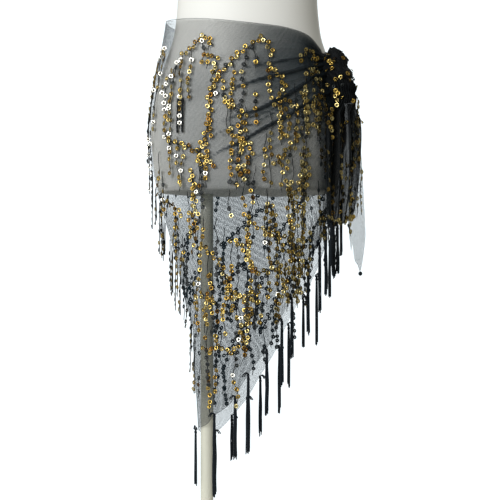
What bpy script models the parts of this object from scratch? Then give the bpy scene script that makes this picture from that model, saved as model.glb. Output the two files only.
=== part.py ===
"""Belly dance hip scarf, knotted at the hip, on a limbless dress form stand.

The scarf is a triangle of net. Its long edge is wound round the hips and
knotted at the +X side, and its point hangs below the form near the pole.
Metres, +Z up. The photograph's view looks along +Y with +X to the right.
The origin is the centre of the base's underside, on the pole's axis.
"""
from math import cos, exp, pi, radians, sin, sqrt

import bmesh
import bpy
from mathutils import Matrix, Vector

FIT_GAP = 0.0003

# The stand.
BASE_RADIUS = 0.170
BASE_THICKNESS = 0.012
BASE_EDGE_ROUND = 0.003
POLE_RADIUS = 0.011
POLE_SIDES = 28

# The dress form, an oval solid whose middle is beside the pole.
FORM_CENTRE = 0.0703
FORM_COLUMNS = 40
FORM_RING_STEP = 0.027
FORM_TOP = 1.100
FORM_BOTTOM = 0.722
FORM_EDGE_ROUND = 0.008
# The underside's rings: how far in from the edge, how far below the side's lowest ring.
UNDERSIDE_RINGS = ((0.0950, 0.0040), (0.0550, 0.0040), (0.0230, 0.0040), (0.0036, 0.0020))
NOTCH_PLACE = 0.078
NOTCH_WIDTH = 0.016
NOTCH_HEIGHT = 0.007
NOTCH_REACH = 0.035

# The form's sections: height, half width, depth to the front, depth to the back.
FORM_SECTIONS = (
    (0.7220, 0.1540, 0.1055, 0.1175),
    (0.7495, 0.1600, 0.1065, 0.1195),
    (0.7947, 0.1655, 0.1075, 0.1215),
    (0.8290, 0.1675, 0.1080, 0.1225),
    (0.8746, 0.1620, 0.1060, 0.1185),
    (0.9110, 0.1532, 0.1025, 0.1120),
    (0.9510, 0.1400, 0.0985, 0.1040),
    (0.9860, 0.1285, 0.0925, 0.0950),
    (1.0205, 0.1235, 0.0870, 0.0880),
    (1.0550, 0.1212, 0.0830, 0.0830),
    (1.1000, 0.1235, 0.0830, 0.0830),
)

# The wound net, a wall that stands clear of the form.
CLOTH_WALL = 0.0012
CLOTH_CLEAR = 0.0016
FOLD_SEAM = 0.00025

# The outside of the net: height, middle, left edge, right edge, front depth, back depth.
# Above the form's underside it lies on the form, or stands off it where these are larger.
CLOTH_SECTIONS = (
    (0.280, 0.0300, -0.0145, 0.0740, 0.0260, 0.0270),
    (0.312, 0.0343, -0.0150, 0.0834, 0.0300, 0.0310),
    (0.360, 0.0443, -0.0174, 0.1060, 0.0410, 0.0430),
    (0.413, 0.0538, -0.0208, 0.1285, 0.0530, 0.0550),
    (0.456, 0.0616, -0.0226, 0.1460, 0.0630, 0.0660),
    (0.489, 0.0650, -0.0245, 0.1560, 0.0700, 0.0740),
    (0.534, 0.0678, -0.0365, 0.1720, 0.0800, 0.0850),
    (0.586, 0.0703, -0.0486, 0.1910, 0.0900, 0.0960),
    (0.638, 0.0703, -0.0625, 0.2100, 0.0990, 0.1070),
    (0.682, 0.0703, -0.0756, 0.2240, 0.1055, 0.1150),
    (0.720, 0.0703, -0.0865, 0.2320, 0.1095, 0.1210),
    (0.750, 0.0703, -0.0905, 0.2345, 0.1100, 0.1220),
    (0.795, 0.0703, -0.0968, 0.2385, 0.1105, 0.1240),
    (0.830, 0.0703, -0.0998, 0.2400, 0.1110, 0.1250),
    (0.875, 0.0703, -0.0955, 0.2345, 0.1095, 0.1210),
    (0.911, 0.0703, -0.0903, 0.2260, 0.1065, 0.1145),
    (0.951, 0.0703, -0.0830, 0.2125, 0.1025, 0.1065),
    (0.986, 0.0703, -0.0765, 0.2005, 0.0990, 0.1010),
    (1.017, 0.0703, -0.0717, 0.1960, 0.0965, 0.0975),
    (1.040, 0.0703, -0.0700, 0.1950, 0.0955, 0.0960),
)

# Edges of each stretch: share of the way to the knot, angle round from the left fold, height.
FRONT_TOP_EDGE = (
    (0.00, 0.0, 1.0170), (0.20, 31.0, 1.0110), (0.37, 57.0, 1.0057), (0.60, 92.0, 0.9954),
    (0.80, 123.0, 0.9889), (0.93, 143.0, 0.9790), (1.00, 154.0, 0.9600),
)
FRONT_HEM = (
    (0.00, 0.0, 0.3100), (0.09, 14.0, 0.3130), (0.26, 47.0, 0.3227), (0.36, 62.0, 0.3377),
    (0.50, 90.0, 0.3640), (0.60, 104.0, 0.4100), (0.68, 119.0, 0.4543), (0.74, 128.5, 0.4965),
    (0.80, 137.0, 0.5453), (0.85, 143.5, 0.5924), (0.90, 152.0, 0.6350), (0.94, 155.0, 0.7000),
    (0.97, 156.0, 0.7800), (1.00, 156.5, 0.8700),
)
BACK_TOP_EDGE = (
    (0.00, 0.0, 1.0170), (0.30, 60.0, 1.0060), (0.60, 120.0, 0.9900), (0.86, 172.0, 0.9680),
    (1.00, 200.0, 0.9580),
)
BACK_HEM = (
    (0.00, 0.0, 0.3085), (0.05, 10.0, 0.3065), (0.18, 39.0, 0.2980), (0.27, 61.0, 0.2950),
    (0.40, 93.0, 0.3220), (0.50, 114.5, 0.3584), (0.58, 126.0, 0.3970), (0.66, 140.0, 0.4400),
    (0.72, 148.0, 0.4896), (0.78, 157.0, 0.5325), (0.84, 168.0, 0.5720), (0.89, 177.0, 0.6200),
    (0.93, 185.0, 0.6900), (0.965, 192.0, 0.7800), (1.00, 197.5, 0.8700),
)

# Rows down the net: share of the drop at the left fold, share at the knot, crest height.
# Crests are the pull folds that run together into the knot.
FRONT_ROWS = (
    (0.000, 0.000, 0.0000), (0.020, 0.030, 0.0000), (0.050, 0.060, 0.0018), (0.085, 0.085, 0.0000),
    (0.120, 0.110, 0.0022), (0.155, 0.135, 0.0000), (0.195, 0.160, 0.0036), (0.235, 0.185, 0.0000),
    (0.285, 0.210, 0.0040), (0.325, 0.238, 0.0000), (0.365, 0.268, 0.0036), (0.410, 0.300, 0.0000),
    (0.455, 0.335, 0.0030), (0.505, 0.380, 0.0000), (0.560, 0.430, 0.0030), (0.620, 0.490, 0.0000),
    (0.680, 0.560, 0.0026), (0.740, 0.640, 0.0000), (0.800, 0.720, 0.0024), (0.870, 0.810, 0.0000),
    (0.935, 0.900, 0.0020), (1.000, 1.000, 0.0000),
)
BACK_ROWS = (
    (0.000, 0.000, 0.0000), (0.050, 0.060, 0.0018), (0.100, 0.115, 0.0000), (0.150, 0.170, 0.0030),
    (0.200, 0.220, 0.0000), (0.250, 0.270, 0.0034), (0.300, 0.325, 0.0000), (0.350, 0.385, 0.0030),
    (0.405, 0.450, 0.0000), (0.475, 0.525, 0.0028), (0.560, 0.610, 0.0000), (0.660, 0.700, 0.0024),
    (0.770, 0.800, 0.0000), (0.885, 0.900, 0.0018), (1.000, 1.000, 0.0000),
)
FRONT_COLUMNS = 38
BACK_COLUMNS = 40
COLUMN_CROWDING = 0.40
FOLD_START_SHARE = 0.22
FOLD_PEAK_SHARE = 0.86
FOLD_LEFT_AT_KNOT = 0.25

# Soft flutes in the net that hangs free below the form.
FLUTE_DEPTH = 0.0032
FLUTE_COUNT = 7
FLUTE_TOP = 0.715
FLUTE_FULL = 0.580

# The knot at the hip.
KNOT_MIDDLE = Vector((0.2235, -0.0510, 0.9130))
KNOT_RADII = Vector((0.0230, 0.0300, 0.0470))
KNOT_FULLNESS_ABOVE = 2.3
KNOT_FULLNESS_BELOW = 3.6
KNOT_LEAN = 0.0100
KNOT_BOTTOM = 0.8712
KNOT_SEGMENTS = 24
KNOT_RINGS = 14
KNOT_WRAPS = 3
KNOT_TWIST = Vector((0.5, -0.4, 1.3))
KNOT_WRAP_DEPTH = 0.0022
KNOT_CLOTH_CLEAR = 0.0024

# Tails: height, left end across and along, right end across and along, pleat depth.
FRONT_TAIL = (
    (0.6640, 0.2030, -0.0790, 0.2450, -0.0470, 0.0040),
    (0.7200, 0.2010, -0.0830, 0.2570, -0.0410, 0.0045),
    (0.7800, 0.2000, -0.0850, 0.2625, -0.0380, 0.0050),
    (0.8400, 0.2010, -0.0830, 0.2625, -0.0385, 0.0042),
    (0.8704, 0.2105, -0.0710, 0.2500, -0.0440, 0.0026),
)
SIDE_TAIL = (
    (0.5830, 0.2470, -0.0230, 0.2740, -0.0010, 0.0012),
    (0.6400, 0.2450, -0.0240, 0.2755, 0.0000, 0.0016),
    (0.7000, 0.2440, -0.0250, 0.2730, -0.0010, 0.0018),
    (0.8000, 0.2440, -0.0265, 0.2660, -0.0060, 0.0016),
    (0.8704, 0.2400, -0.0360, 0.2520, -0.0270, 0.0006),
)
# Tail hems: share across, height.
FRONT_TAIL_HEM = ((0.0, 0.6690), (0.35, 0.6650), (0.7, 0.6660), (1.0, 0.6740))
SIDE_TAIL_HEM = (
    (0.00, 0.6420), (0.07, 0.6190), (0.15, 0.6300), (0.24, 0.6060), (0.50, 0.5945), (0.72, 0.5840),
    (0.88, 0.6060), (1.00, 0.6450),
)
FRONT_TAIL_PLEATS = 3.5
SIDE_TAIL_PLEATS = 1.0
FRONT_TAIL_GRID = (22, 7)
SIDE_TAIL_GRID = (14, 8)
TIP_SHARE = 0.72
TIP_BEAD_RADIUS = 0.0032

# Tassels: a bound head with strands that hang from its underside.
TASSEL_HEAD_RADIUS = 0.0030
TASSEL_HEAD_HEIGHT = 0.0090
TASSEL_TOP_SHARE = 0.60
TASSEL_STRANDS = 7
TASSEL_SPREAD = 0.0012
TASSEL_RISE = 0.0012
TASSEL_SEAT_GAP = 0.0008
TAIL_TASSEL_DROP = 0.0006
STRAND_INSET = 0.00022
STRAND_LENGTH_STEP = 0.0016

# Tassels on each hem: the wall's column that carries one, whole length.
FRONT_TASSELS = (
    (2, 0.102), (11, 0.142), (16, 0.106), (19, 0.134), (22, 0.113), (25, 0.115), (27, 0.104),
    (30, 0.123), (32, 0.118), (33, 0.112),
)
BACK_TASSELS = (
    (6, 0.100), (9, 0.108), (13, 0.080), (16, 0.102), (19, 0.109), (23, 0.120), (25, 0.116),
    (28, 0.090), (31, 0.124), (34, 0.100), (36, 0.095),
)
# Tassels on the front tail's hem: share across, whole length.
TAIL_TASSELS = ((0.08, 0.084), (0.27, 0.094), (0.46, 0.088))

# Node colour, roughness, metallic value.
COLOURS = {
    "form": ((0.86, 0.85, 0.80), 0.55, 0.0),
    "stand": ((0.80, 0.78, 0.66), 0.25, 0.0),
    "net": ((0.05, 0.06, 0.06), 0.70, 0.0),
    "yarn": ((0.02, 0.03, 0.035), 0.60, 0.0),
}


def clear_scene():
    """Remove what the opened file holds."""
    for item in list(bpy.data.objects):
        bpy.data.objects.remove(item, do_unlink=True)


def make_material(name, kind):
    """A Principled material of one of the named colours."""
    colour, roughness, metallic = COLOURS[kind]
    material = bpy.data.materials.new(name)
    material.use_nodes = True
    shader = material.node_tree.nodes["Principled BSDF"]
    shader.inputs["Base Color"].default_value = (*colour, 1.0)
    shader.inputs["Roughness"].default_value = roughness
    shader.inputs["Metallic"].default_value = metallic
    return material


def add_object(name, mesh, kind, collection):
    """Put a mesh in the part's collection as a node of its own."""
    item = bpy.data.objects.new(name, mesh)
    collection.objects.link(item)
    mesh.materials.append(make_material(name + "_material", kind))
    mesh.shade_smooth()
    return item


def mesh_from_bmesh(name, shape):
    """Turn a bmesh into a mesh with its faces pointing out."""
    bmesh.ops.recalc_face_normals(shape, faces=shape.faces)
    mesh = bpy.data.meshes.new(name)
    shape.to_mesh(mesh)
    shape.free()
    return mesh


def read_table(table, key):
    """Read a table's other columns at a value of its first, on a smooth curve."""
    rows = sorted(table)
    if key <= rows[0][0]:
        return rows[0][1:]
    if key >= rows[-1][0]:
        return rows[-1][1:]
    last = len(rows) - 1
    index = max(i for i in range(last) if rows[i][0] <= key)
    before, low = rows[max(index - 1, 0)], rows[index]
    high, after = rows[index + 1], rows[min(index + 2, last)]
    span = high[0] - low[0]
    share = (key - low[0]) / span
    values = []
    for column in range(1, len(low)):
        slope_low = (high[column] - before[column]) / (high[0] - before[0]) * span
        slope_high = (after[column] - low[column]) / (after[0] - low[0]) * span
        rise = high[column] - low[column]
        bend = share * (1 - share)
        values.append(low[column] + share * rise
                      + bend * ((1 - share) * (slope_low - rise) - share * (slope_high - rise)))
    return tuple(values)


def smooth_step(low, high, value):
    """Go smoothly from 0 at low to 1 at high."""
    share = min(max((value - low) / (high - low), 0.0), 1.0)
    return share * share * (3 - 2 * share)


def grid_mesh(name, points):
    """An open sheet through rows of points."""
    across = len(points[0])
    faces = []
    for row in range(len(points) - 1):
        for column in range(across - 1):
            corner = row * across + column
            faces.append((corner, corner + across, corner + across + 1, corner + 1))
    mesh = bpy.data.meshes.new(name)
    mesh.from_pydata([point for row in points for point in row], [], faces)
    return mesh


def add_wall(name, points, offset, collection, turn_over=False):
    """A sheet of net given its thickness; offset -1 thickens it inward."""
    mesh = grid_mesh(name, points)
    if turn_over:
        mesh.flip_normals()
    item = add_object(name, mesh, "net", collection)
    solid = item.modifiers.new("Thickness", "SOLIDIFY")
    solid.thickness = CLOTH_WALL
    solid.offset = offset
    solid.use_even_offset = True
    return item


def notch_lift(across, height):
    """How far the form's underside rises between its two soft lobes."""
    fade = 1 - smooth_step(0, NOTCH_REACH, height - FORM_BOTTOM)
    return NOTCH_HEIGHT * fade * exp(-(((across - NOTCH_PLACE) / NOTCH_WIDTH) ** 2))


def form_ring(height, inset):
    """One ring of the form, drawn in by an inset where an edge is rounded."""
    half, front, back = read_table(FORM_SECTIONS, height)
    ring = []
    for column in range(FORM_COLUMNS):
        angle = 2 * pi * column / FORM_COLUMNS
        depth = front if sin(angle) > 0 else back
        across = FORM_CENTRE - (half - inset) * cos(angle)
        along = -(depth - inset) * sin(angle)
        ring.append(Vector((across, along, height + notch_lift(across, height))))
    return ring


def form_rings():
    """Rings from the form's underside to its plain top."""
    rings = []
    for inset, drop in UNDERSIDE_RINGS:
        ring = form_ring(FORM_BOTTOM, inset)
        rings.append([point - Vector((0, 0, drop)) for point in ring])
    side_height = FORM_TOP - FORM_EDGE_ROUND - FORM_BOTTOM
    steps = int(side_height / FORM_RING_STEP)
    for step in range(steps + 1):
        rings.append(form_ring(FORM_BOTTOM + side_height * step / steps, 0.0))
    rings.append(form_ring(FORM_TOP, FORM_EDGE_ROUND))
    return rings


def build_form(collection):
    """The limbless form, a loft with soft lobes under it and a flat top."""
    shape = bmesh.new()
    rings = [[shape.verts.new(point) for point in ring] for ring in form_rings()]
    for low, high in zip(rings, rings[1:]):
        for column in range(FORM_COLUMNS):
            right = (column + 1) % FORM_COLUMNS
            shape.faces.new((low[column], low[right], high[right], high[column]))
    shape.faces.new(list(reversed(rings[0])))
    shape.faces.new(rings[-1])
    bmesh.ops.triangulate(shape, faces=[face for face in shape.faces if len(face.verts) > 4])
    return add_object("dress_form", mesh_from_bmesh("dress_form", shape), "form", collection)


def build_stand(collection):
    """The round base and the pole, which ends just under the form."""
    base = bmesh.new()
    bmesh.ops.create_cone(base, cap_ends=True, segments=64, radius1=BASE_RADIUS,
                          radius2=BASE_RADIUS, depth=BASE_THICKNESS,
                          matrix=Matrix.Translation((0, 0, BASE_THICKNESS / 2)))
    top_edges = [edge for edge in base.edges
                 if all(vert.co.z > BASE_THICKNESS / 2 for vert in edge.verts)]
    bmesh.ops.bevel(base, geom=top_edges, offset=BASE_EDGE_ROUND, segments=2, profile=0.5,
                    affect="EDGES")
    add_object("stand_base", mesh_from_bmesh("stand_base", base), "stand", collection)
    low = BASE_THICKNESS + FIT_GAP
    high = FORM_BOTTOM - UNDERSIDE_RINGS[0][1] - FIT_GAP
    pole = bmesh.new()
    bmesh.ops.create_cone(pole, cap_ends=True, segments=POLE_SIDES, radius1=POLE_RADIUS,
                          radius2=POLE_RADIUS, depth=high - low,
                          matrix=Matrix.Translation((0, 0, (low + high) / 2)))
    add_object("stand_pole", mesh_from_bmesh("stand_pole", pole), "stand", collection)


def cloth_halves(height):
    """The net's middle and its reach left, right, front and back at a height."""
    middle, left, right, front, back = read_table(CLOTH_SECTIONS, height)
    reach = [middle - left, right - middle, front, back]
    if height >= FORM_BOTTOM:
        off = CLOTH_CLEAR + CLOTH_WALL
        half, form_front, form_back = read_table(FORM_SECTIONS, height)
        least = (half + off, half + off, form_front + off, form_back + off)
        reach = [max(pair) for pair in zip(reach, least)]
    return middle, reach


def flute(angle, height):
    """How far a soft upright fold stands out in the part that hangs free."""
    depth = FLUTE_DEPTH * (1 - smooth_step(FLUTE_FULL, FLUTE_TOP, height))
    return depth * sin(FLUTE_COUNT * angle) * min(1.0, height / FLUTE_FULL)


def cloth_point(angle, height, rise):
    """A point on the net's outside at an angle round from the left, and the way out of it."""
    middle, (left, right, front, back) = cloth_halves(height)
    half = left if cos(angle) > 0 else right
    depth = front if sin(angle) > 0 else back
    way_out = Vector((-cos(angle) / half, -sin(angle) / depth, 0)).normalized()
    point = Vector((middle - half * cos(angle), -depth * sin(angle), height))
    return point + way_out * (rise + flute(abs(angle), height)), way_out


def fold_share(share):
    """How strongly the pull folds stand up on the way to the knot."""
    rise = smooth_step(FOLD_START_SHARE, FOLD_PEAK_SHARE, share)
    fall = smooth_step(FOLD_PEAK_SHARE, 1.0, share)
    return rise * (1 - (1 - FOLD_LEFT_AT_KNOT) * fall)


def wound_point(top_edge, hem, row, share, side):
    """A point of a wound stretch, on a row of it at a share of the way to the knot."""
    at_fold, at_knot, crest = row
    top_angle, top_height = read_table(top_edge, share)
    hem_angle, hem_height = read_table(hem, share)
    drop = at_fold + (at_knot - at_fold) * share
    angle = radians(top_angle + (hem_angle - top_angle) * drop) * side
    height = top_height + (hem_height - top_height) * drop
    point, way_out = cloth_point(angle, height, crest * fold_share(share))
    return point + Vector((0, -side * FOLD_SEAM, 0)) * (1 - share), way_out


def column_share(count):
    """Set the columns closer together on the way to the knot."""
    return count * (1 + COLUMN_CROWDING * (1 - count))


def build_stretch(name, top_edge, hem, rows, columns, side, collection):
    """One wound stretch of the net, from the left fold to the knot."""
    points = []
    for row in rows:
        points.append([wound_point(top_edge, hem, row, column_share(column / columns), side)[0]
                       for column in range(columns + 1)])
    return add_wall(name, points, -1, collection, turn_over=side < 0)


def knot_point(direction):
    """A point of the knot, with its wraps, kept off the net under it."""
    turn = KNOT_WRAPS * pi * direction.dot(KNOT_TWIST)
    round_share = sqrt(max(1 - direction.z ** 2, 0.0))
    fullness = KNOT_FULLNESS_ABOVE if direction.z > 0 else KNOT_FULLNESS_BELOW
    full_share = (1 - abs(direction.z) ** fullness) ** (1 / fullness)
    swell = full_share / max(round_share, 0.01)
    shape = Vector((direction.x * swell, direction.y * swell, direction.z))
    point = KNOT_MIDDLE + Vector([a * b for a, b in zip(shape, KNOT_RADII)])
    point.x -= KNOT_LEAN * direction.z
    point += direction * (KNOT_WRAP_DEPTH * cos(turn))
    point.z = max(point.z, KNOT_BOTTOM)
    middle, (_, right, front, _) = cloth_halves(point.z)
    right, front = right + KNOT_CLOTH_CLEAR, front + KNOT_CLOTH_CLEAR
    across, along = (point.x - middle) / right, point.y / front
    if sqrt(across ** 2 + along ** 2) < 1:
        point.x = middle + right * sqrt(max(1 - along ** 2, 0.0))
    return point


def build_knot(collection):
    """The knot, a rounded lump with the turns of the wound net on it."""
    shape = bmesh.new()
    bmesh.ops.create_uvsphere(shape, u_segments=KNOT_SEGMENTS, v_segments=KNOT_RINGS, radius=1.0)
    for vert in shape.verts:
        vert.co = knot_point(vert.co.normalized())
    return add_object("knot", mesh_from_bmesh("knot", shape), "net", collection)


def tail_point(sections, pleats, share, height):
    """A point of a tail that hangs in upright pleats."""
    left_x, left_y, right_x, right_y, depth = read_table(sections, height)
    left, right = Vector((left_x, left_y, height)), Vector((right_x, right_y, height))
    run = right - left
    way_out = Vector((run.y, -run.x, 0)).normalized()
    return left + run * share + way_out * (depth * sin(2 * pi * pleats * share))


def build_tail(name, sections, hem, pleats, grid, collection):
    """A tail of net from the knot to its hem."""
    across, down = grid
    top = sections[-1][0]
    points = []
    for row in range(down + 1):
        line = []
        for column in range(across + 1):
            share = column / across
            low, = read_table(hem, share)
            height = top + (low - top) * row / down
            line.append(tail_point(sections, pleats, share, height))
        points.append(line)
    return add_wall(name, points, 0, collection)


def build_tip_bead(collection):
    """The small bound knot at the side tail's point."""
    low, = read_table(SIDE_TAIL_HEM, TIP_SHARE)
    place = tail_point(SIDE_TAIL, SIDE_TAIL_PLEATS, TIP_SHARE, low)
    place.z -= TIP_BEAD_RADIUS + 2 * FIT_GAP
    shape = bmesh.new()
    bmesh.ops.create_uvsphere(shape, u_segments=10, v_segments=7, radius=TIP_BEAD_RADIUS,
                              matrix=Matrix.Translation(place))
    return add_object("tip_bead", mesh_from_bmesh("tip_bead", shape), "yarn", collection)


def tassel_mesh(name, length, number):
    """A tassel whose strands are drawn out of its head's underside."""
    shape = bmesh.new()
    bmesh.ops.create_cone(shape, cap_ends=True, segments=TASSEL_STRANDS,
                          radius1=TASSEL_HEAD_RADIUS,
                          radius2=TASSEL_HEAD_RADIUS * TASSEL_TOP_SHARE,
                          depth=TASSEL_HEAD_HEIGHT,
                          matrix=Matrix.Translation((0, 0, -TASSEL_HEAD_HEIGHT / 2)))
    shape.faces.ensure_lookup_table()
    under = min(shape.faces, key=lambda face: face.calc_center_median().z)
    wedges = bmesh.ops.poke(shape, faces=[under])["faces"]
    bmesh.ops.inset_individual(shape, faces=wedges, thickness=STRAND_INSET, use_even_offset=True)
    drawn = bmesh.ops.extrude_discrete_faces(shape, faces=wedges)["faces"]
    for index, face in enumerate(drawn):
        short = ((index * 3 + number) % 5) * STRAND_LENGTH_STEP
        middle = face.calc_center_median()
        outward = Vector((middle.x, middle.y, 0)).normalized()
        drop = Vector((0, 0, -(length - TASSEL_HEAD_HEIGHT - short)))
        bmesh.ops.translate(shape, verts=face.verts, vec=drop + outward * TASSEL_SPREAD)
    return mesh_from_bmesh(name, shape)


def add_tassel(name, place, length, number, collection):
    """Hang a tassel with the top of its head at a place."""
    item = add_object(name, tassel_mesh(name, length, number), "yarn", collection)
    item.location = place
    return item


def build_hem_tassels(prefix, top_edge, hem, rows, columns, side, tassels, collection):
    """The tassels along a wound stretch's hem, on the outside of its edge."""
    for number, (column, length) in enumerate(tassels, start=1):
        share = column_share(column / columns)
        point, way_out = wound_point(top_edge, hem, rows[-1], share, side)
        place = point + way_out * (TASSEL_HEAD_RADIUS * TASSEL_TOP_SHARE + TASSEL_SEAT_GAP)
        place.z += TASSEL_RISE
        add_tassel(f"{prefix}_{number:02d}", place, length, number, collection)


def build_tail_tassels(collection):
    """The tassels under the front tail's hem."""
    for number, (share, length) in enumerate(TAIL_TASSELS, start=1):
        low, = read_table(FRONT_TAIL_HEM, share)
        place = tail_point(FRONT_TAIL, FRONT_TAIL_PLEATS, share, low)
        place.z -= TAIL_TASSEL_DROP
        add_tassel(f"tassel_tail_{number:02d}", place, length, number, collection)


def build_part():
    """Build every sub-part in one collection."""
    clear_scene()
    collection = bpy.data.collections.new("hip_scarf_on_dress_form")
    bpy.context.scene.collection.children.link(collection)
    build_form(collection)
    build_stand(collection)
    build_stretch("scarf_front", FRONT_TOP_EDGE, FRONT_HEM, FRONT_ROWS, FRONT_COLUMNS, 1,
                  collection)
    build_stretch("scarf_back", BACK_TOP_EDGE, BACK_HEM, BACK_ROWS, BACK_COLUMNS, -1,
                  collection)
    build_knot(collection)
    build_tail("tail_front", FRONT_TAIL, FRONT_TAIL_HEM, FRONT_TAIL_PLEATS, FRONT_TAIL_GRID,
               collection)
    build_tail("tail_side", SIDE_TAIL, SIDE_TAIL_HEM, SIDE_TAIL_PLEATS, SIDE_TAIL_GRID,
               collection)
    build_tip_bead(collection)
    build_hem_tassels("tassel_front", FRONT_TOP_EDGE, FRONT_HEM, FRONT_ROWS, FRONT_COLUMNS, 1,
                      FRONT_TASSELS, collection)
    build_hem_tassels("tassel_back", BACK_TOP_EDGE, BACK_HEM, BACK_ROWS, BACK_COLUMNS, -1,
                      BACK_TASSELS, collection)
    build_tail_tassels(collection)


build_part()
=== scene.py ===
"""Belly dance hip scarf on a limbless dress form: the dressed and shaded model.

A triangle of black net is wound round the hips and knotted at the +X side.
Gold cup sequins sit on black thread on it, and yarn tassels hang from its
hems. Metres, +Z up, the front towards -Y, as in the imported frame.
"""
from functools import lru_cache
from math import ceil, cos, exp, floor, hypot, pi, radians, sin, sqrt
from random import Random

import bmesh
import bpy
from mathutils import Euler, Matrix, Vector


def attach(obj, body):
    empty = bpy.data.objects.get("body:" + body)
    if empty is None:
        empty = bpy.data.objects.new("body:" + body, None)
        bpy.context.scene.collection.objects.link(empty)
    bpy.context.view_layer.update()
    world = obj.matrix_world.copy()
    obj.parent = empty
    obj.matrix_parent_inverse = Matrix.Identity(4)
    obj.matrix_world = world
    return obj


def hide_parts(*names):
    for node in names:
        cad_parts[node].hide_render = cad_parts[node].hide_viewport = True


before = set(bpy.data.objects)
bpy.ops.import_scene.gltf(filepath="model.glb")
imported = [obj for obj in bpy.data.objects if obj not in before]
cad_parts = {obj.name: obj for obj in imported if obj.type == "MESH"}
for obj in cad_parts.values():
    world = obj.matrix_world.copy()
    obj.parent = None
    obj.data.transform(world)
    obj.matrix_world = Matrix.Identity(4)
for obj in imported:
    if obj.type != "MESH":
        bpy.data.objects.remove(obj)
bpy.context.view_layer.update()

# The camera, level and square to the front.
CAMERA_PLACE = (0.0747, -1.8, 0.621)
SPARK_LAMP_PLACE = (-0.75, -1.9, 1.35)
CAMERA_LENS = 74.6
SENSOR_WIDTH = 36.0
FLOOR_RADIUS = 1.6
FLOOR_SIDES = 96

# The lamps: place, what each looks at, size, power in watts and colour.
LAMPS = (
    ("key_lamp", (-1.35, -1.55, 1.25), (0.05, 0, 0.80), 0.9, 18.6, (0.95, 1.0, 1.07)),
    ("spark_lamp", SPARK_LAMP_PLACE, (0.07, 0, 0.75), 0.26, 14.0, (1.0, 1.0, 1.0)),
    ("top_lamp", (0.1, -0.5, 2.4), (0.07, 0, 0.8), 1.2, 3.0, (1.0, 1.0, 1.0)),
    ("back_lamp", (0.9, 1.8, 1.3), (0.07, 0, 0.75), 1.2, 5.0, (1.0, 1.0, 0.95)),
)

# The stand.
FIT_GAP = 0.0003
BASE_RADIUS = 0.170
BASE_THICKNESS = 0.012
BASE_EDGE_ROUND = 0.003
BASE_SIDES = 120
POLE_RADIUS = 0.011
POLE_SIDES = 56
POLE_ROWS = 24
RING_OFF_POLE = 0.006

# The dress form.
FORM_CENTRE = 0.0703
FORM_TOP = 1.100
FORM_BOTTOM = 0.722
FORM_EDGE_ROUND = 0.008
UNDERSIDE_RINGS = ((0.0000, 0.0000), (0.0036, 0.0020), (0.0230, 0.0040), (0.0550, 0.0040),
                   (0.0950, 0.0040))
NOTCH_PLACE = 0.078
NOTCH_WIDTH = 0.016
NOTCH_HEIGHT = 0.007
NOTCH_REACH = 0.035
FORM_COLUMNS = 112
FORM_ROWS = 56
UNDERSIDE_STEPS = 5
EDGE_STEPS = 6

# The form's sections: height, half width, depth to the front, depth to the back.
FORM_SECTIONS = (
    (0.7220, 0.1540, 0.1055, 0.1175),
    (0.7495, 0.1600, 0.1065, 0.1195),
    (0.7947, 0.1655, 0.1075, 0.1215),
    (0.8290, 0.1675, 0.1080, 0.1225),
    (0.8746, 0.1620, 0.1060, 0.1185),
    (0.9110, 0.1532, 0.1025, 0.1120),
    (0.9510, 0.1400, 0.0985, 0.1040),
    (0.9860, 0.1285, 0.0925, 0.0950),
    (1.0205, 0.1235, 0.0870, 0.0880),
    (1.0550, 0.1212, 0.0830, 0.0830),
    (1.1000, 0.1235, 0.0830, 0.0830),
)

# The net.
CLOTH_WALL = 0.0012
CLOTH_CLEAR = 0.0016
FOLD_SEAM = 0.00025
METRES_EACH_RADIAN = 0.155
BACK_WEAVE_LEAN = 0.16
EDGE_ROWS = (0.0, 0.0022, 0.0045, 0.0075)
FRONT_GRID = (230, 230)
BACK_GRID = (170, 150)
WEAVE_PITCH = 0.00085
WEAVE_TURN = 42
THREAD_PER_GATHER = 0.62
THREAD_SOFTNESS = 0.88
GATHER_MOST = 0.72

# The outside of the net: height, middle, left edge, right edge, front depth, back depth.
CLOTH_SECTIONS = (
    (0.280, 0.0300, -0.0145, 0.0740, 0.0260, 0.0270),
    (0.312, 0.0343, -0.0150, 0.0834, 0.0300, 0.0310),
    (0.360, 0.0443, -0.0174, 0.1060, 0.0410, 0.0430),
    (0.413, 0.0538, -0.0208, 0.1285, 0.0530, 0.0550),
    (0.456, 0.0616, -0.0226, 0.1460, 0.0630, 0.0660),
    (0.489, 0.0650, -0.0245, 0.1560, 0.0700, 0.0740),
    (0.534, 0.0678, -0.0365, 0.1720, 0.0800, 0.0850),
    (0.586, 0.0703, -0.0486, 0.1910, 0.0900, 0.0960),
    (0.638, 0.0703, -0.0625, 0.2100, 0.0990, 0.1070),
    (0.682, 0.0703, -0.0756, 0.2240, 0.1055, 0.1150),
    (0.720, 0.0703, -0.0865, 0.2320, 0.1095, 0.1210),
    (0.750, 0.0703, -0.0905, 0.2345, 0.1100, 0.1220),
    (0.795, 0.0703, -0.0968, 0.2385, 0.1105, 0.1240),
    (0.830, 0.0703, -0.0998, 0.2400, 0.1110, 0.1250),
    (0.875, 0.0703, -0.0955, 0.2345, 0.1095, 0.1210),
    (0.911, 0.0703, -0.0903, 0.2260, 0.1065, 0.1145),
    (0.951, 0.0703, -0.0830, 0.2125, 0.1025, 0.1065),
    (0.986, 0.0703, -0.0765, 0.2005, 0.0990, 0.1010),
    (1.017, 0.0703, -0.0717, 0.1960, 0.0965, 0.0975),
    (1.040, 0.0703, -0.0700, 0.1950, 0.0955, 0.0960),
)

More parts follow.
